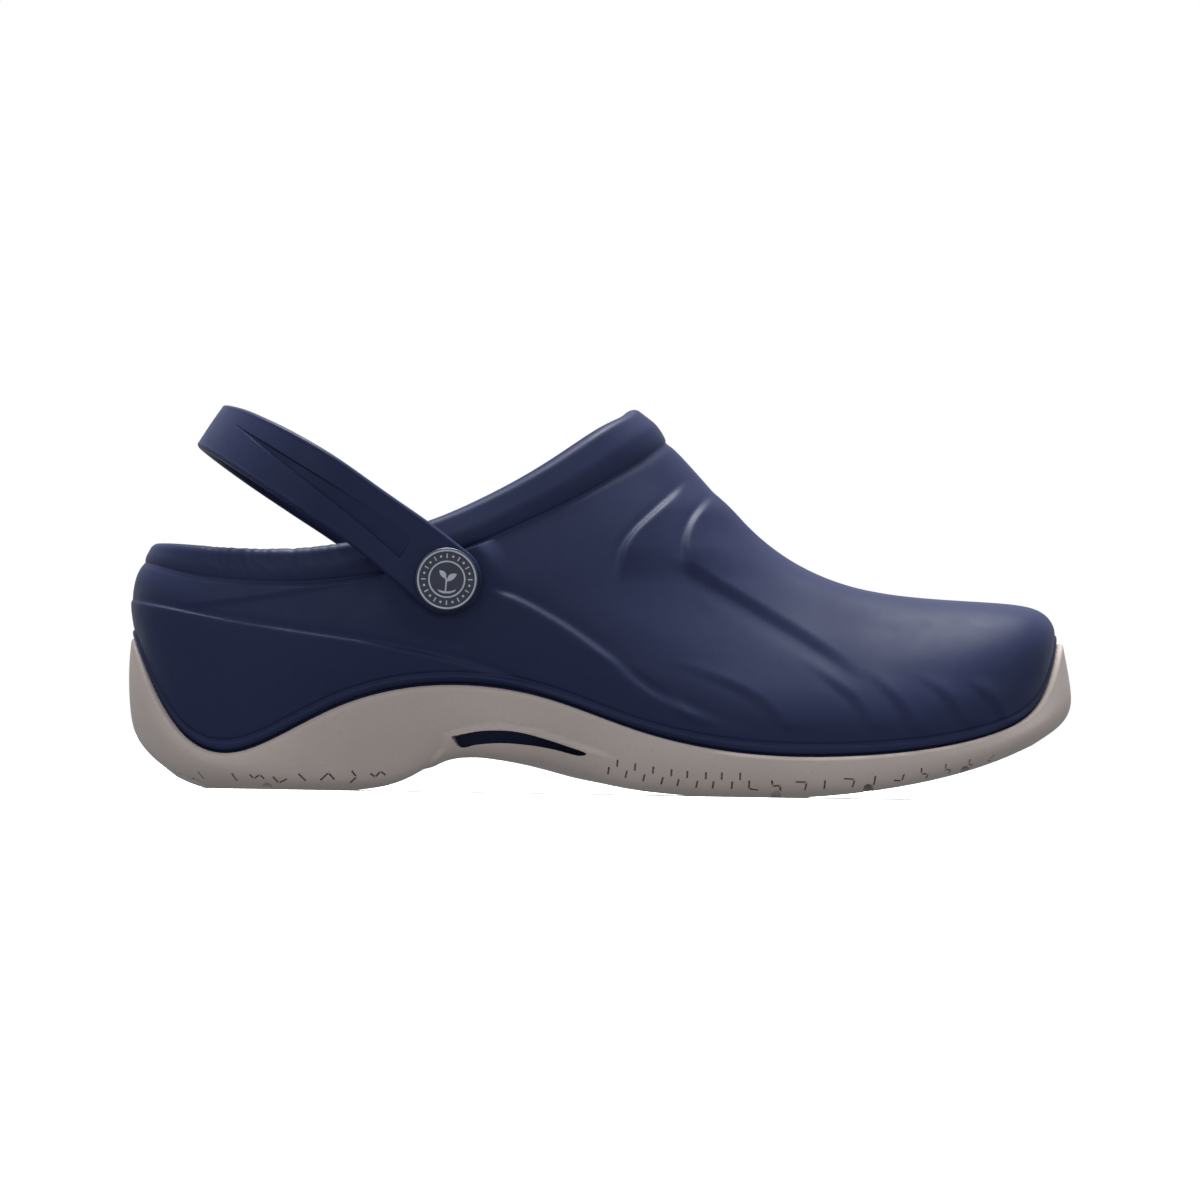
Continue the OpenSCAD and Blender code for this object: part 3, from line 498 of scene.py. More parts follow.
def knit():
    m, t, b, co = mat_new("footbed_cloth_knit")
    w1 = t.nodes.new("ShaderNodeTexWave")
    w1.wave_type, w1.bands_direction = "BANDS", "X"
    w1.inputs["Scale"].default_value = 210
    w1.inputs["Distortion"].default_value = 1.2
    w1.inputs["Detail"].default_value = 1
    w2 = t.nodes.new("ShaderNodeTexWave")
    w2.wave_type, w2.bands_direction = "BANDS", "Y"
    w2.inputs["Scale"].default_value = 260
    w2.inputs["Distortion"].default_value = 1.2
    t.links.new(co, w1.inputs["Vector"])
    t.links.new(co, w2.inputs["Vector"])
    mul = t.nodes.new("ShaderNodeMath")
    mul.operation = "MULTIPLY"
    t.links.new(w1.outputs[1], mul.inputs[0])
    t.links.new(w2.outputs[1], mul.inputs[1])
    c = ramp(t, mul.outputs[0], [(0.05, (0.016, 0.018, 0.030)), (0.8, (0.050, 0.056, 0.086))])
    c = mixc(t, maprange(t, noise(t, co, 40, 4), 0.3, 0.7, 0.0, 0.4), c, (0.062, 0.066, 0.092))
    t.links.new(c, b.inputs["Base Color"])
    t.links.new(maprange(t, noise(t, co, 500, 2), 0.2, 0.8, 0.82, 0.95), b.inputs["Roughness"])
    n1 = bump(t, mul.outputs[0], 0.55, 0.0003)
    t.links.new(bump(t, noise(t, co, 1800, 2), 0.3, 0.0002, n1), b.inputs["Normal"])
    b.inputs["Sheen Weight"].default_value = 0.35
    b.inputs["Sheen Roughness"].default_value = 0.5
    return m


M_cloth = knit()
M_foam = navy_foam("footbed_foam_dark", (0.02, 0.022, 0.04), (0.03, 0.033, 0.055), rough=(0.7, 0.85), grain=2.5)

# ---------------------------------------------------------------- upper
n_u = COLS * 36
s_u = np.arange(n_u) / 36.0


def row_u(t):
    tt = np.full(n_u, float(t))
    P, N, V = surf(NU, s_u, tt)
    return P, N, V


edge = row_u(1)[0]
bottom = on_line(BOTTOM, s_u)
floor = on_line(FLOOR, s_u)
turn = np.interp(np.where(s_u > COLS / 2, COLS - s_u, s_u), range(len(TURN)), TURN)


def boss(P):
    """Raises a soft pad under the strap's end to the seat plane."""
    r = np.hypot(P[:, 0] - PX, P[:, 2] - PZ)
    w = 1 - step((r - 11.8) / 7.0)
    y = np.abs(P[:, 1])
    lift = np.where(r < 22, np.clip(SEAT - y, -1, 6), 0) * w
    Q = P.copy()
    Q[:, 1] += np.sign(P[:, 1]) * np.where(np.abs(P[:, 1]) > 20, lift, 0)
    return Q


def outer_u(t):
    P, N, V = row_u(t)
    d = upper_detail(P, np.full(n_u, float(t)))
    # bead over the outsole's edge: rounded, 2.4 mm high, with a fine groove above it
    h = np.linalg.norm(P - edge, axis=1)
    bead = 0.62 * np.sqrt(np.clip(1 - ((h - 2.35) / 1.3) ** 2, 0, 1)) - 0.30 * np.exp(-(((h - 4.1) / 0.45) ** 2))
    under = -0.62 * np.exp(-(((h - 0.75) / 0.42) ** 2))
    Q = P + N * ((d * step((h - 1.0) / 2.0)) + bead + under * step(h / 0.3))[:, None]
    if 2.5 < t < 9.9:
        Q = boss(Q)
    return Q


ts = np.concatenate([np.linspace(1, 2, 60), np.linspace(2, 10, 170)[1:], np.linspace(10, 10.5, 16)[1:], np.linspace(10.5, 11, 9)[1:]])
rings = [bottom, bottom * 0.5 + edge * 0.5] + [outer_u(t) for t in ts]
Pt, Nt, Vt = row_u(TOP)
ro = roll_at(Pt[:, 0])
uneven = upper_detail(Pt, np.full(n_u, float(TOP))) - ro
for a in np.linspace(0, 180, 19)[1:]:
    a = math.radians(a)
    r, c = (ro + WALL) / 2, (ro - WALL) / 2
    rings.append(Pt + Nt * (c + r * math.cos(a) + uneven * step(0.5 + 0.5 * math.cos(a)))[:, None] + Vt * (LIP * math.sin(a) + uneven * 0.8 * math.sin(a))[:, None])
last = None
for q in np.linspace(0, 1, 56)[1:]:
    P, N, V = surf(NU, s_u, TOP - 1e-6 - q * (TOP - turn))
    last = P - N * WALL
    rings.append(last)
for f in (0.25, 0.5, 0.75, 1.0):
    rings.append(last * (1 - f) + floor * f)
V, F = loft(rings)
upper = make("upper_shell", V, F, M_upper)
finish_smooth(upper, 48)
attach(upper, "clog")
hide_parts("upper")

# ---------------------------------------------------------------- outsole
n_o = COLS * 30
s_o = np.arange(n_o) / 30.0
edge_o = surf(NU, s_o, np.ones(n_o))[0]
bottom_o = on_line(BOTTOM, s_o)


REC_Z = [2.0, 6.6, 12.3, 16.3, 17.6, 18.6]
REC_X = [-53.0, -51.6, -47.4, -46.2, -44.2, -42.0]
TOP_X = [-46.0, -42.0, -36.0, -30.0, -23.5, -17.0, -10.0, -3.0, 6.0]
TOP_Z = [16.6, 17.4, 18.9, 19.3, 18.6, 17.0, 14.9, 12.4, 9.0]


def recess(P):
    """The arch is set back between the heel block and the forefoot's tread."""
    x, z = P[:, 0], P[:, 2]
    left = np.interp(z, REC_Z, REC_X)
    top = np.interp(x, TOP_X, TOP_Z)
    d = step((x - left) / 1.6) * step((top + 0.5 - z) / 1.4) * (1 - step((x + 8) / 12))
    return 1.9 * d


def row_o(t):
    P, N, V = surf(NO, s_o, np.full(n_o, float(t)))
    P = P - N * np.array([1, 1, 0.25]) * recess(P)[:, None]
    P[:, 2] = np.maximum(P[:, 2], 0)
    return P


rings = []
tread = row_o(4)
mirror = tread[(-np.arange(n_o)) % n_o]
for f in (0.45, 0.8):        # inner lines of the tread, so that its face is well meshed
    mid = (tread + mirror) / 2
    rings.append(mid + (tread - mid) * f)
rings += [row_o(t) for t in np.linspace(4, 0.12, 58)]
top_o, lipin = row_o(0), grow(edge_o, GAP, 0)
wall_v = top_o - lipin
up = surf(NO, s_o, np.zeros(n_o))[2] * -1.0     # towards the top edge
base = row_o(0.12)
for a in (25, 50, 75, 90, 110, 135, 160):
    a = math.radians(a)
    c = (base + lipin) / 2
    rings.append(c + (base - lipin) / 2 * math.cos(a) + np.array([0, 0, 0.75]) * math.sin(a))
rings += [lipin, grow((bottom_o + edge_o) / 2, GAP, 0), grow(bottom_o, GAP, -GAP)]
V, F = loft(rings)
sole = make("outsole_cup", V, F, M_sole)

# arch windows on both sides, flared a little towards the heel
win = spline(WINDOW + [WINDOW[0]], 4)[:-1]
Vw, Fw = [], []
for side in (-1, 1):
    b = len(Vw)
    m = len(win)
    flare = [8.0 * (1 - step((p[0] + 43) / 5)) for p in win]
    Vw += [[p[0], side * 31, p[1]] for p in win] + [[p[0] - f, side * 60, p[1]] for p, f in zip(win, flare)]
    fs = [[b + i, b + (i + 1) % m, b + m + (i + 1) % m, b + m + i] for i in range(m)]
    fs += [[b + i for i in range(m)][::-1], [b + m + i for i in range(m)]]
    Fw += fs if side < 0 else [f[::-1] for f in fs]
w = make("w", Vw, Fw, None, smooth=False, turned=False)
bpy.context.view_layer.update()
cut(sole, w)


def strip(centre, du, dv, dn, ln, wd, deep, proud=1.2):
    """A thin block of length ln along du and width wd along dv, sunk deep into the surface and standing proud of it."""
    out = []
    for n in (-deep, proud):
        for a, c in ((-1, -1), (1, -1), (1, 1), (-1, 1)):
            out.append(centre + du * a * ln / 2 + dv * c * wd / 2 + dn * n)
    return out


# incised marks round the lower edge: strokes given as (from, to) in millimetres along and up
GLYPHS = {
    "I": [((0, -1.3), (0, 1.3))],
    "L": [((-1.2, 1.3), (-1.2, -1.2)), ((-1.2, -1.2), (1.3, -1.5))],
    "Z": [((-1.4, 1.5), (-1.1, -0.1)), ((-1.1, -0.1), (1.1, 0.1)), ((1.1, 0.1), (1.3, -1.5))],
    "T": [((-1.7, 1.3), (1.3, 1.3)), ((1.3, 1.3), (1.1, -1.2))],
    "J": [((-1.3, -1.0), (1.1, -1.0)), ((1.1, -1.0), (1.4, 1.0))],
}
t_grid = np.linspace(1.2, 4.0, 141)
marks = []


def place(x, side, up, name, size=1.0):
    """Puts one mark on the side wall at x, so far above the tread's edge, measured round the wall."""
    ss = np.linspace(0.05, COLS / 2 - 0.05, 500) if side < 0 else np.linspace(COLS / 2 + 0.05, COLS - 0.05, 500)
    P0 = surf(NO, ss, np.full(500, 2.8))[0]
    s0 = ss[np.argmin(np.abs(P0[:, 0] - x))]
    stroke(s0, up, name, size, True)


def stroke(s0, up, name, size=1.0, name_by_height=False):
    C = surf(NO, np.full(141, s0), t_grid)[0]
    C[:, 2] = np.maximum(C[:, 2], 0)
    if name_by_height:
        zz = np.maximum.accumulate(C[::-1, 2] - C[:, 2].min())
        t0 = np.interp(up, zz + np.arange(141) * 1e-6, t_grid[::-1])
    else:
        L = np.concatenate([[0], np.cumsum(np.linalg.norm(np.diff(C[::-1], axis=0), axis=1))])[::-1]
        t0 = np.interp(up, L[::-1], t_grid[::-1])
    P, N, V = (q[0] for q in surf(NO, np.array([s0]), np.array([t0])))
    P = P - N * np.array([1, 1, 0.25]) * recess(P[None])[0]
    v = -V
    u = np.cross(v, N)
    if u[0] < 0:
        u = -u
    for (a0, b0), (a1, b1) in GLYPHS[name]:
        a0, b0, a1, b1 = (q * size for q in (a0, b0, a1, b1))
        c = P + u * (a0 + a1) / 2 + v * (b0 + b1) / 2
        d = u * (a1 - a0) + v * (b1 - b0)
        ln = np.linalg.norm(d)
        d = d / ln
        marks.append(strip(c, d, np.cross(N, d), N, ln + 0.45, 0.55, 0.7))


for side in (-1, 1):
    for k, x in enumerate(np.arange(-104.5, -57, 6.9)):
        place(x, side, 3.1 + (0.3 if k % 2 else 0.0), "IZLITJZ"[k % 7], 1.0)
    for k, x in enumerate(np.arange(0, 40, 5.0)):
        place(x, side, 3.2, "I", 0.75)
        place(x + 2.4, side, 5.8, "I", 0.65)
    for k, x in enumerate(np.arange(41, 122, 6.9)):
        place(x, side, 3.3, "LZTITIJZZZLI"[k % 12], 0.95)
    for k, f in enumerate((0.3, 0.62, 0.95, 1.3, 1.65, 2.0, 2.35)):
        stroke(f if side < 0 else COLS - f, 6.2 + (2.2 if k % 2 == 0 else 0.0), "LZIZLZI"[k], 0.95)
    for k, f in enumerate((12.8, 12.45)):
        stroke(f if side < 0 else COLS - f, 5.0, "LI"[k % 2], 0.9)
for k, u0 in enumerate((9.5, 15.0, 20.5)):
    stroke(0.02, u0, "ZLI"[k], 1.0)
V, F = boxes(marks)
bpy.context.view_layer.update()
cut(sole, make("w", V, F, None, smooth=False, turned=False))

# half-round channels under the tread, from the sides inward; one runs right across
low = row_o(3.6)
items_v, items_f = [], []
for x, r, full in ((-96.0, 1.55, False), (-63.2, 1.5, False), (48.0, 1.5, True), (74.3, 1.5, False), (102.3, 1.35, False)):
    for side in ((0,) if full else (-1, 1)):
        zb = max(0.0, float(np.interp(x, [45, 64, 90, 107, 119], [0.2, 1.2, 5.0, 9.6, 14]))) if x > 0 else 0.0
        y0, y1 = (-60, 60) if full else ((-60, -30) if side < 0 else (30, 60))
        ring = [(x + r * math.cos(a), zb + 0.15 + r * math.sin(a)) for a in np.linspace(0, 2 * math.pi, 28, endpoint=False)]
        b, m = len(items_v), len(ring)
        items_v += [[p[0], y0, p[1]] for p in ring] + [[p[0], y1, p[1]] for p in ring]
        fs = [[b + i, b + (i + 1) % m, b + m + (i + 1) % m, b + m + i] for i in range(m)] + [[b + i for i in range(m)][::-1], [b + m + i for i in range(m)]]
        items_f += [f[::-1] for f in fs]
bpy.context.view_layer.update()
cut(sole, make("w", items_v, items_f, None, smooth=False, turned=False))

# tread pattern underneath: short staggered zigzag grooves on the heel and the forefoot
X3, Y3, Z3 = np.array([1.0, 0, 0]), np.array([0, 1.0, 0]), np.array([0, 0, -1.0])
tread_ring = row_o(4)
half_w = lambda x: float(np.interp(x, [-121, -111, -98, -76, -60], [4, 19, 25, 27, 26])) if x < 0 else float(np.interp(x, [8, 37, 64, 88, 106, 116], [34, 41, 42, 37, 26, 12]))
items = []
row_n = 0
for x in list(np.arange(-113, -56, 7.2)) + list(np.arange(12, 80, 7.2)):
    row_n += 1
    hw_x = half_w(x) - 3.0
    zc = 0.0 if x < 60 else (x - 60) * 0.13
    for k, y in enumerate(np.arange(-hw_x + (3.0 if row_n % 2 else 0.0), hw_x - 2, 8.4)):
        c = np.array([x, y + 1.5, zc])
        items.append(strip(c + Y3 * 1.5, Y3, X3, Z3, 5.0, 1.1, 1.5, 3.0))
        items.append(strip(c + X3 * (1.6 if k % 2 else -1.6) - Y3 * 1.2, X3, Y3, Z3, 4.2, 1.1, 1.5, 3.0))
V, F = boxes(items)
F = [f[::-1] for f in F]
bpy.context.view_layer.update()
cut(sole, make("w", V, F, None, smooth=False, turned=False))
finish_smooth(sole, 40)
sole.data.materials.clear()
sole.data.materials.append(M_sole)
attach(sole, "clog")
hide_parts("outsole")

# ---------------------------------------------------------------- heel strap
e_u = np.array([-math.cos(math.radians(REST)), 0, math.sin(math.radians(REST))])
e_w = np.array([math.sin(math.radians(REST)), 0, math.cos(math.radians(REST))])
pivot = np.array([PX, 0, PZ])
half = STRAP_IN + STRAP_T / 2
ax, bx = REACH - STRAP_T / 2 - STRAIGHT, half
th = np.linspace(-math.pi / 2, math.pi / 2, 1201)
arm_a = np.linspace(0, 1, 40)
u_end = -END_R * np.cos(arm_a * math.pi / 2)          # dense at the round end
straight = np.sort(np.concatenate([u_end, np.linspace(0, STRAIGHT, 60)[1:], [14.35, 14.62]]))
bend_pts = np.stack([STRAIGHT + ax * np.cos(th), bx * np.sin(th)], 1)
seglen = np.linalg.norm(np.diff(bend_pts, axis=0), axis=1)
cum = np.concatenate([[0], np.cumsum(seglen)])
m_b = 170
bend_i = np.stack([np.interp(np.linspace(0, cum[-1], m_b), cum, bend_pts[:, k]) for k in (0, 1)], 1)
path = np.concatenate([np.stack([straight, -half + 0 * straight], 1), bend_i[1:-1], np.stack([straight[::-1], half + 0 * straight], 1)])
tang = np.gradient(path, axis=0)
tang = tang / np.linalg.norm(tang, axis=1, keepdims=True)
tang[:len(straight)] = [1, 0]
tang[-len(straight):] = [-1, 0]
outw = np.stack([tang[:, 1], -tang[:, 0]], 1)
top_l, low_l = spline(STRAP_TOP, 12), spline(STRAP_LOW, 12)
REC_LOW = spline([[72,3.0],[62,1.6],[50,0.7],[36,-0.3],[25,-1.3],[14.35,-2.6]])
REC_TOP = spline([[72,3.2],[62,3.5],[50,3.9],[36,4.4],[25,4.6],[14.35,4.4]])
loops = []
for (u, v), (nu, nv) in zip(path, outw):
    hi = np.interp(max(u, 0), top_l[:, 0], top_l[:, 1])
    lo = np.interp(max(u, 0), low_l[:, 0], low_l[:, 1])
    if u < 0:
        k = math.sqrt(max(1 - (u / END_R) ** 2, 0.0009))
        hi, lo = hi * k, lo * k
    wmid, hw = (hi + lo) / 2, (hi - lo) / 2
    rc = min(1.35, hw * 0.95)
    T2 = STRAP_T / 2
    pts = []
    l_ = float(np.interp(-u, -REC_LOW[:, 0], REC_LOW[:, 1])) - wmid
    h_ = float(np.interp(-u, -REC_TOP[:, 0], REC_TOP[:, 1])) - wmid
    flat = hw - rc
    l_, h_ = max(l_, -0.75 * flat), min(h_, 0.75 * flat)
    if h_ - l_ < 0.5 * min(1, flat):
        c_ = (l_ + h_) / 2
        l_, h_ = c_ - 0.25 * min(1, flat), c_ + 0.25 * min(1, flat)
    e_ = min(0.42, (h_ - l_) * 0.3)
    inside = 14.5 < u < 71.5
    wide = max(0.0, min((h_ - l_) / 2.2, 1.0)) if inside else 0.0
    fade_top = 0.15 + 0.85 * float(step((u - 24) / 34))
    faces_w = list(np.linspace(-flat, l_, 15))
    n_low = len(faces_w)
    faces_w += list(np.linspace(l_ + e_, h_ - e_, 18)) + list(np.linspace(h_, flat, 15))
    deep = []
    for q_, w_ in enumerate(faces_w):
        if n_low <= q_ < n_low + 18:
            f_ = (q_ - n_low) / 17.0
            deep.append(0.95 * wide * (1 + (fade_top - 1) * f_))
        else:
            deep.append(0.0)
    for w_, dp in zip(faces_w, deep):       # outer face, from low to high
        pts.append((w_, T2 + 0.18 * (1 - (w_ / hw) ** 2) - 0.18 - dp, 1))
    for a in np.linspace(0, 90, 7)[1:]:
        a = math.radians(a)
        pts.append((hw - rc + rc * math.sin(a), T2 - rc + rc * math.cos(a), 0))
    pts.append((hw, 0, 0))
    for a in np.linspace(90, 180, 7)[:-1]:
        a = math.radians(a)
        pts.append((hw - rc + rc * math.sin(a), -T2 + rc + rc * math.cos(a), 0))
    for w_ in np.linspace(hw - rc, -(hw - rc), 16):
        pts.append((w_, -T2, 0))
    for a in np.linspace(180, 270, 7)[1:]:
        a = math.radians(a)
        pts.append((-(hw - rc) + rc * math.sin(a), -T2 + rc + rc * math.cos(a), 0))
    pts.append((-hw, 0, 0))
    for a in np.linspace(270, 360, 7)[:-1]:
        a = math.radians(a)
        pts.append((-(hw - rc) + rc * math.sin(a), T2 - rc + rc * math.cos(a), 0))
    P = []
    for w_, dd, face in pts:
        ww = wmid + w_
        q = pivot + e_u * (u + nu * dd) + e_w * ww
        q[1] = v + nv * dd
        P.append(q)
    loops.append(np.array(P))
npts = len(loops[0])
V = np.concatenate(loops)
F = []
for k in range(len(loops) - 1):
    for i in range(npts):
        j = (i + 1) % npts
        F.append([k * npts + i, k * npts + j, (k + 1) * npts + j, (k + 1) * npts + i])
F.append([i for i in range(npts)][::-1])
F.append([(len(loops) - 1) * npts + i for i in range(npts)])
strap = make("heel_strap_band", V, F, M_strap)
for side in (1, -1):
    Vc, Fc = lathe([(4.05, 30.0), (4.05, 50.0)], 64, side)
    cut(strap, make("c", Vc, Fc, None, smooth=False))
finish_smooth(strap, 42)
strap.data.materials.clear()
strap.data.materials.append(M_strap)
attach(strap, "strap")
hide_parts("heel_strap")

# ---------------------------------------------------------------- rivets
H = HEAD_IN
for side, nm in ((1, "lateral"), (-1, "medial")):
    prof = [(0.02, 30.2), (3.0, 30.2), (3.4, 30.35), (4.7, 31.15), (4.72, 31.4), (4.0, 31.5), (4.0, H), (8.55, H), (8.8, H + 0.08), (8.95, H + 0.25), (9.0, H + 0.5),
            (9.0, H + 0.85), (8.96, H + 1.05), (8.86, H + 1.22), (8.7, H + 1.36), (8.5, H + 1.44), (8.2, H + 1.5), (7.6, H + 1.5), (5.9, H + 1.5), (5.5, H + 1.5), (4.8, H + 1.5), (4.6, H + 1.5),
            (2.0, H + 1.5), (0.02, H + 1.5)]
    V, F = lathe(prof, 144, side)
    o = make("strap_rivet_head_" + nm, V, F, M_rivet)
    finish_smooth(o, 38)
    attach(o, "clog")
    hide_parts("strap_rivet_" + nm)

    # generic print: two rings, a ring of dashes and dots, and a sprig with two leaves
    def ring_print(r0, r1, h0, h1):
        return lathe([(r0, h0), (r0 + 0.04, h1), (r1 - 0.04, h1), (r1, h0), (r0, h0)][:4], 144, side)

    parts_v, parts_f = [], []

    def add(V, F):
        b = sum(len(v) for v in parts_v)
        F = outward(V, F)
        parts_v.append(np.array(V))
        parts_f.extend([[i + b for i in f] for f in F])

    def closed_ring(r0, r1, h0, h1):
        seg = 144
        a = np.linspace(0, 2 * np.pi, seg, endpoint=False)
        V = []
        for r, h in ((r0, h0), (r0, h1), (r1, h1), (r1, h0)):
            V += [[PX + r * math.cos(q), -side * h, PZ + r * math.sin(q)] for q in a]
        F = []
        for k in range(4):
            for i in range(seg):
                j = (i + 1) % seg
                k2 = (k + 1) % 4
                f = [k * seg + i, k2 * seg + i, k2 * seg + j, k * seg + j]
                F.append(f if side > 0 else f[::-1])
        add(V, F)

    def flat_shape(pts, h0, h1):
        pts = np.array(pts, float)
        m = len(pts)
        area = 0.5 * sum(pts[i][0] * pts[(i + 1) % m][1] - pts[(i + 1) % m][0] * pts[i][1] for i in range(m))
        if area < 0:
            pts = pts[::-1]
        V = [[PX + p[0], -side * h0, PZ + p[1]] for p in pts] + [[PX + p[0], -side * h1, PZ + p[1]] for p in pts]
        F = [[i, (i + 1) % m, m + (i + 1) % m, m + i] for i in range(m)] + [list(range(m))[::-1], [m + i for i in range(m)]]
        if side < 0:
            F = [f[::-1] for f in F]
        add(V, F)

    closed_ring(7.95, 8.42, H + 1.42, H + 1.66)
    closed_ring(4.85, 5.3, H + 1.42, H + 1.66)
    sx = 1 if side > 0 else -1
    for k in range(24):
        a = 2 * math.pi * k / 24
        if k % 2 == 0:
            c, s = math.cos(a), math.sin(a)
            tx, tz = -s, c
            flat_shape([[c * r + tx * q, s * r + tz * q] for r, q in ((6.0, -0.17), (7.3, -0.17), (7.3, 0.17), (6.0, 0.17))], H + 1.45, H + 1.6)
        else:
            flat_shape([[6.65 * math.cos(a) + 0.34 * math.cos(q), 6.65 * math.sin(a) + 0.34 * math.sin(q)] for q in np.linspace(0, 2 * math.pi, 16, endpoint=False)], H + 1.45, H + 1.6)

    def leaf(x0, z0, ang, ln, wd):
        pts = []
        for k in np.linspace(0, 1, 14):
            pts.append((k * ln, wd * math.sin(math.pi * k) ** 0.8))
        for k in np.linspace(1, 0, 14)[1:-1]:
            pts.append((k * ln, -wd * 0.55 * math.sin(math.pi * k) ** 0.8))
        c, s = math.cos(ang), math.sin(ang)
        return [[sx * (x0 + c * p - s * q), z0 + s * p + c * q] for p, q in pts]

    flat_shape(leaf(0.05, -0.6, math.radians(38), 3.5, 1.05), H + 1.42, H + 1.62)
    flat_shape(leaf(-0.25, 0.1, math.radians(128), 3.1, -0.95), H + 1.42, H + 1.60)
    flat_shape([[sx * p, q] for p, q in ((-0.55, -3.4), (-0.12, -3.45), (-0.02, -1.9), (0.12, -0.5), (-0.1, 0.5), (-0.4, 0.5), (-0.35, -0.6), (-0.45, -2.0))], H + 1.42, H + 1.58)
    flat_shape([[sx * p, q] for p, q in ((-2.6, -2.9), (-1.2, -3.3), (0.3, -3.42), (1.6, -3.25), (2.7, -2.8), (2.3, -3.45), (0.9, -4.0), (-0.9, -4.0), (-2.2, -3.5))], H + 1.41, H + 1.56)
    o = make("rivet_print_" + nm, np.concatenate(parts_v), parts_f, M_print, smooth=False)
    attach(o, "clog")

for nm in ("rivet_lock_lateral", "rivet_lock_medial"):
    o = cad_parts[nm]
    if not o.material_slots:
        o.data.materials.append(M_lock)
    for sl in o.material_slots:
        sl.material = M_lock

# ---------------------------------------------------------------- footbed
n_f = COLS * 12
s_f = np.arange(n_f) / 12.0
fl = on_line(FLOOR, s_f)
FT, CT, CUP = 5.0, 0.8, 2.0


def ftop(h):
    return grow(fl, -0.9, h)


def inset(P, f, h):
    Q = P[(-np.arange(n_f)) % n_f]
    m = (P + Q) / 2
    return np.stack([P[:, 0] * (1 - (1 - f) * 0.35), m[:, 1] + (P[:, 1] - m[:, 1]) * f, P[:, 2] + h], 1)


def bed(f):
    """Height of the footbed's surface over its middle, at f of its half width."""
    return CUP * step((f - 0.72) / 0.28)


fs = [0.985, 0.96, 0.93, 0.9, 0.86, 0.82, 0.76, 0.68, 0.58, 0.46, 0.34]
base_t = ftop(FT)
rings = [grow(fl, -0.5, 0.15), grow(fl, -0.45, 1.2), grow(fl, -0.55, FT * 0.6), ftop(FT + CUP - 0.5), inset(base_t, 0.99, CUP)]
rings += [inset(base_t, f, bed(f)) for f in fs[1:]]
V, F = loft(rings)
o = make("footbed_foam_body", V, F, M_foam)
finish_smooth(o, 45)
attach(o, "clog")
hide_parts("footbed_foam")
rings = [inset(base_t, f, bed(f) + 0.1) for f in fs[1:][::-1]]
rings += [inset(base_t, 0.99, CUP + 0.1), inset(base_t, 1.0, CUP + 0.4), inset(base_t, 0.99, CUP + CT)]
rings += [inset(base_t, f, bed(f) + CT) for f in fs[1:]]
V, F = loft(rings)
o = make("footbed_cover_cloth", V, F, M_cloth)
finish_smooth(o, 60)
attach(o, "clog")
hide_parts("footbed_cover")

# ---------------------------------------------------------------- floor, light, camera
scene = bpy.context.scene
scene.view_settings.view_transform = "Standard"
scene.view_settings.look = "None"

mf, t, b, co = mat_new("floor_pale")
c = ramp(t, noise(t, co, 1.5, 2), [(0.3, (0.86, 0.86, 0.87)), (0.7, (0.88, 0.88, 0.885))])
t.links.new(c, b.inputs["Base Color"])
b.inputs["Roughness"].default_value = 0.75
b.inputs["Specular IOR Level"].default_value = 0.2
fl_me = bpy.data.meshes.new("floor")
S = 30.0
V = [(-S, -S, -0.0001), (S, -S, -0.0001), (S, S, -0.0001), (-S, S, -0.0001)]
fl_me.from_pydata(V, [], [(0, 1, 2, 3)])
fl_me.polygons.foreach_set("use_smooth", [True] * len(fl_me.polygons))
floor_o = bpy.data.objects.new("floor", fl_me)
fl_me.materials.append(mf)
scene.collection.objects.link(floor_o)
floor_o.visible_diffuse = False
floor_o.visible_glossy = False

world = bpy.data.worlds.new("studio")
scene.world = world
world.use_nodes = True
wt = world.node_tree
wt.nodes.clear()
w_out = wt.nodes.new("ShaderNodeOutputWorld")
w_mix = wt.nodes.new("ShaderNodeMixShader")
w_sky, w_white = wt.nodes.new("ShaderNodeBackground"), wt.nodes.new("ShaderNodeBackground")
w_white.inputs[0].default_value = (1, 1, 1, 1)
w_white.inputs[1].default_value = 1.0
w_path = wt.nodes.new("ShaderNodeLightPath")
w_co = wt.nodes.new("ShaderNodeTexCoord")
w_sep = wt.nodes.new("ShaderNodeSeparateXYZ")
wt.links.new(w_co.outputs["Generated"], w_sep.inputs[0])
h01 = maprange(wt, w_sep.outputs[2], -1, 1, 0, 1)
soft = ramp(wt, h01, [(0.0, (0.045, 0.045, 0.047)), (0.5, (0.105, 0.106, 0.11)), (0.75, (0.13, 0.13, 0.135)), (1.0, (0.16, 0.16, 0.165))])
wt.links.new(soft, w_sky.inputs[0])
w_sky.inputs[1].default_value = 6.0
wt.links.new(w_path.outputs["Is Camera Ray"], w_mix.inputs[0])
wt.links.new(w_sky.outputs[0], w_mix.inputs[1])
wt.links.new(w_white.outputs[0], w_mix.inputs[2])
wt.links.new(w_mix.outputs[0], w_out.inputs[0])


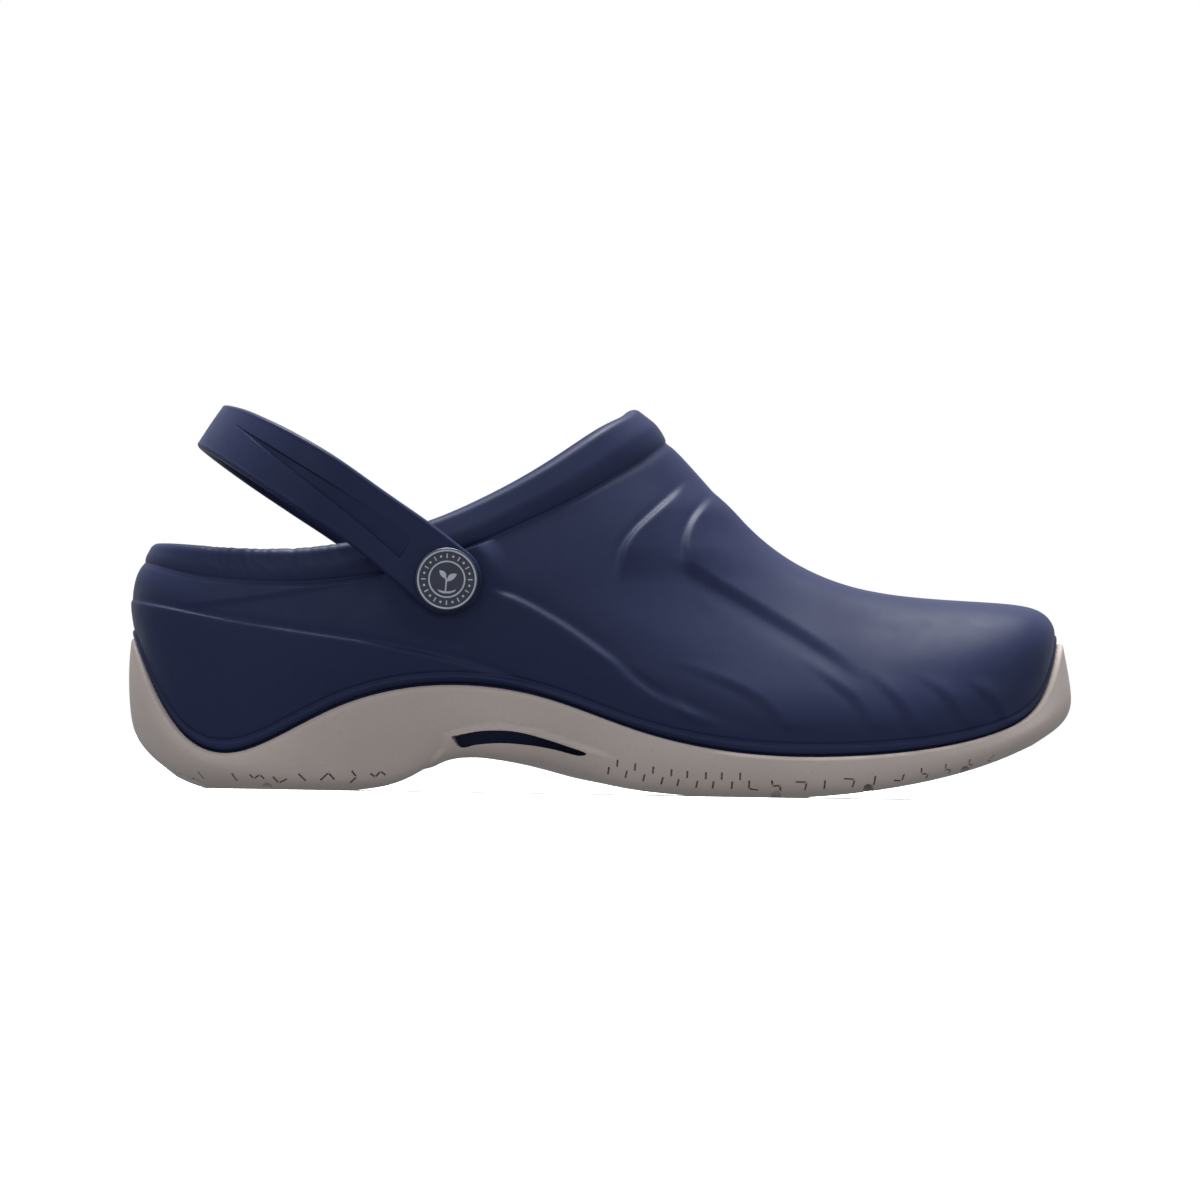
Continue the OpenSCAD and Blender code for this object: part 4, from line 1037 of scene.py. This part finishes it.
def area(name, loc, target, size, power, colour=(1, 1, 1), shape="RECTANGLE", size_y=None):
    d = bpy.data.lights.new(name, "AREA")
    d.shape = shape
    d.size = size
    if size_y:
        d.size_y = size_y
    d.energy = power
    d.color = colour
    o = bpy.data.objects.new(name, d)
    o.location = loc
    o.rotation_euler = (Vector(target) - Vector(loc)).to_track_quat("-Z", "Y").to_euler()
    scene.collection.objects.link(o)
    return o


area("key_top", (0.0, 0.28, 1.35), (0, 0, 0.04), 0.8, 40, (1.0, 0.995, 0.99), size_y=0.45)
area("front_soft", (-0.5, -1.5, 0.9), (0, 0, 0.05), 0.8, 2.6, (1.0, 1.0, 1.0), size_y=0.6)

# the floor has its own lamp, so that it stays pale without lighting the clog from below
sun_d = bpy.data.lights.new("floor_lamp", "SUN")
sun_d.energy = 3.4
sun_d.angle = math.radians(70)
sun = bpy.data.objects.new("floor_lamp", sun_d)
scene.collection.objects.link(sun)
only_floor = bpy.data.collections.new("floor_only")
only_floor.objects.link(floor_o)
sun.light_linking.receiver_collection = only_floor

K = 270.0 / 947.0
tilt = math.atan(8.0 / 475.0)
dx, dy = 600.0 - 601.5, 797.0 - 600.0
cx = K * (dx * math.cos(tilt) - dy * math.sin(tilt))
cz = K * (dy * math.cos(tilt) + (dx - 163.5) * math.sin(tilt))
target = Vector((cx * MM, -0.012, cz * MM))
D, yaw, elev = 6.0, math.radians(-2.6), math.radians(-0.35)
cam_d = bpy.data.cameras.new("camera")
cam_d.sensor_width = 36.0
cam_d.lens = 36.0 * D / (1200.0 * K * MM)
cam_d.clip_end = 100.0
cam = bpy.data.objects.new("camera", cam_d)
direction = Vector((math.sin(yaw) * math.cos(elev), -math.cos(yaw) * math.cos(elev), math.sin(elev)))
cam.location = target + direction * D
q = (target - cam.location).to_track_quat("-Z", "Y")
cam.rotation_euler = q.to_euler()
cam.rotation_mode = "QUATERNION"
from mathutils import Quaternion
cam.rotation_quaternion = q @ Quaternion((0, 0, 1), tilt)
scene.collection.objects.link(cam)
scene.camera = cam

bpy.context.view_layer.update()
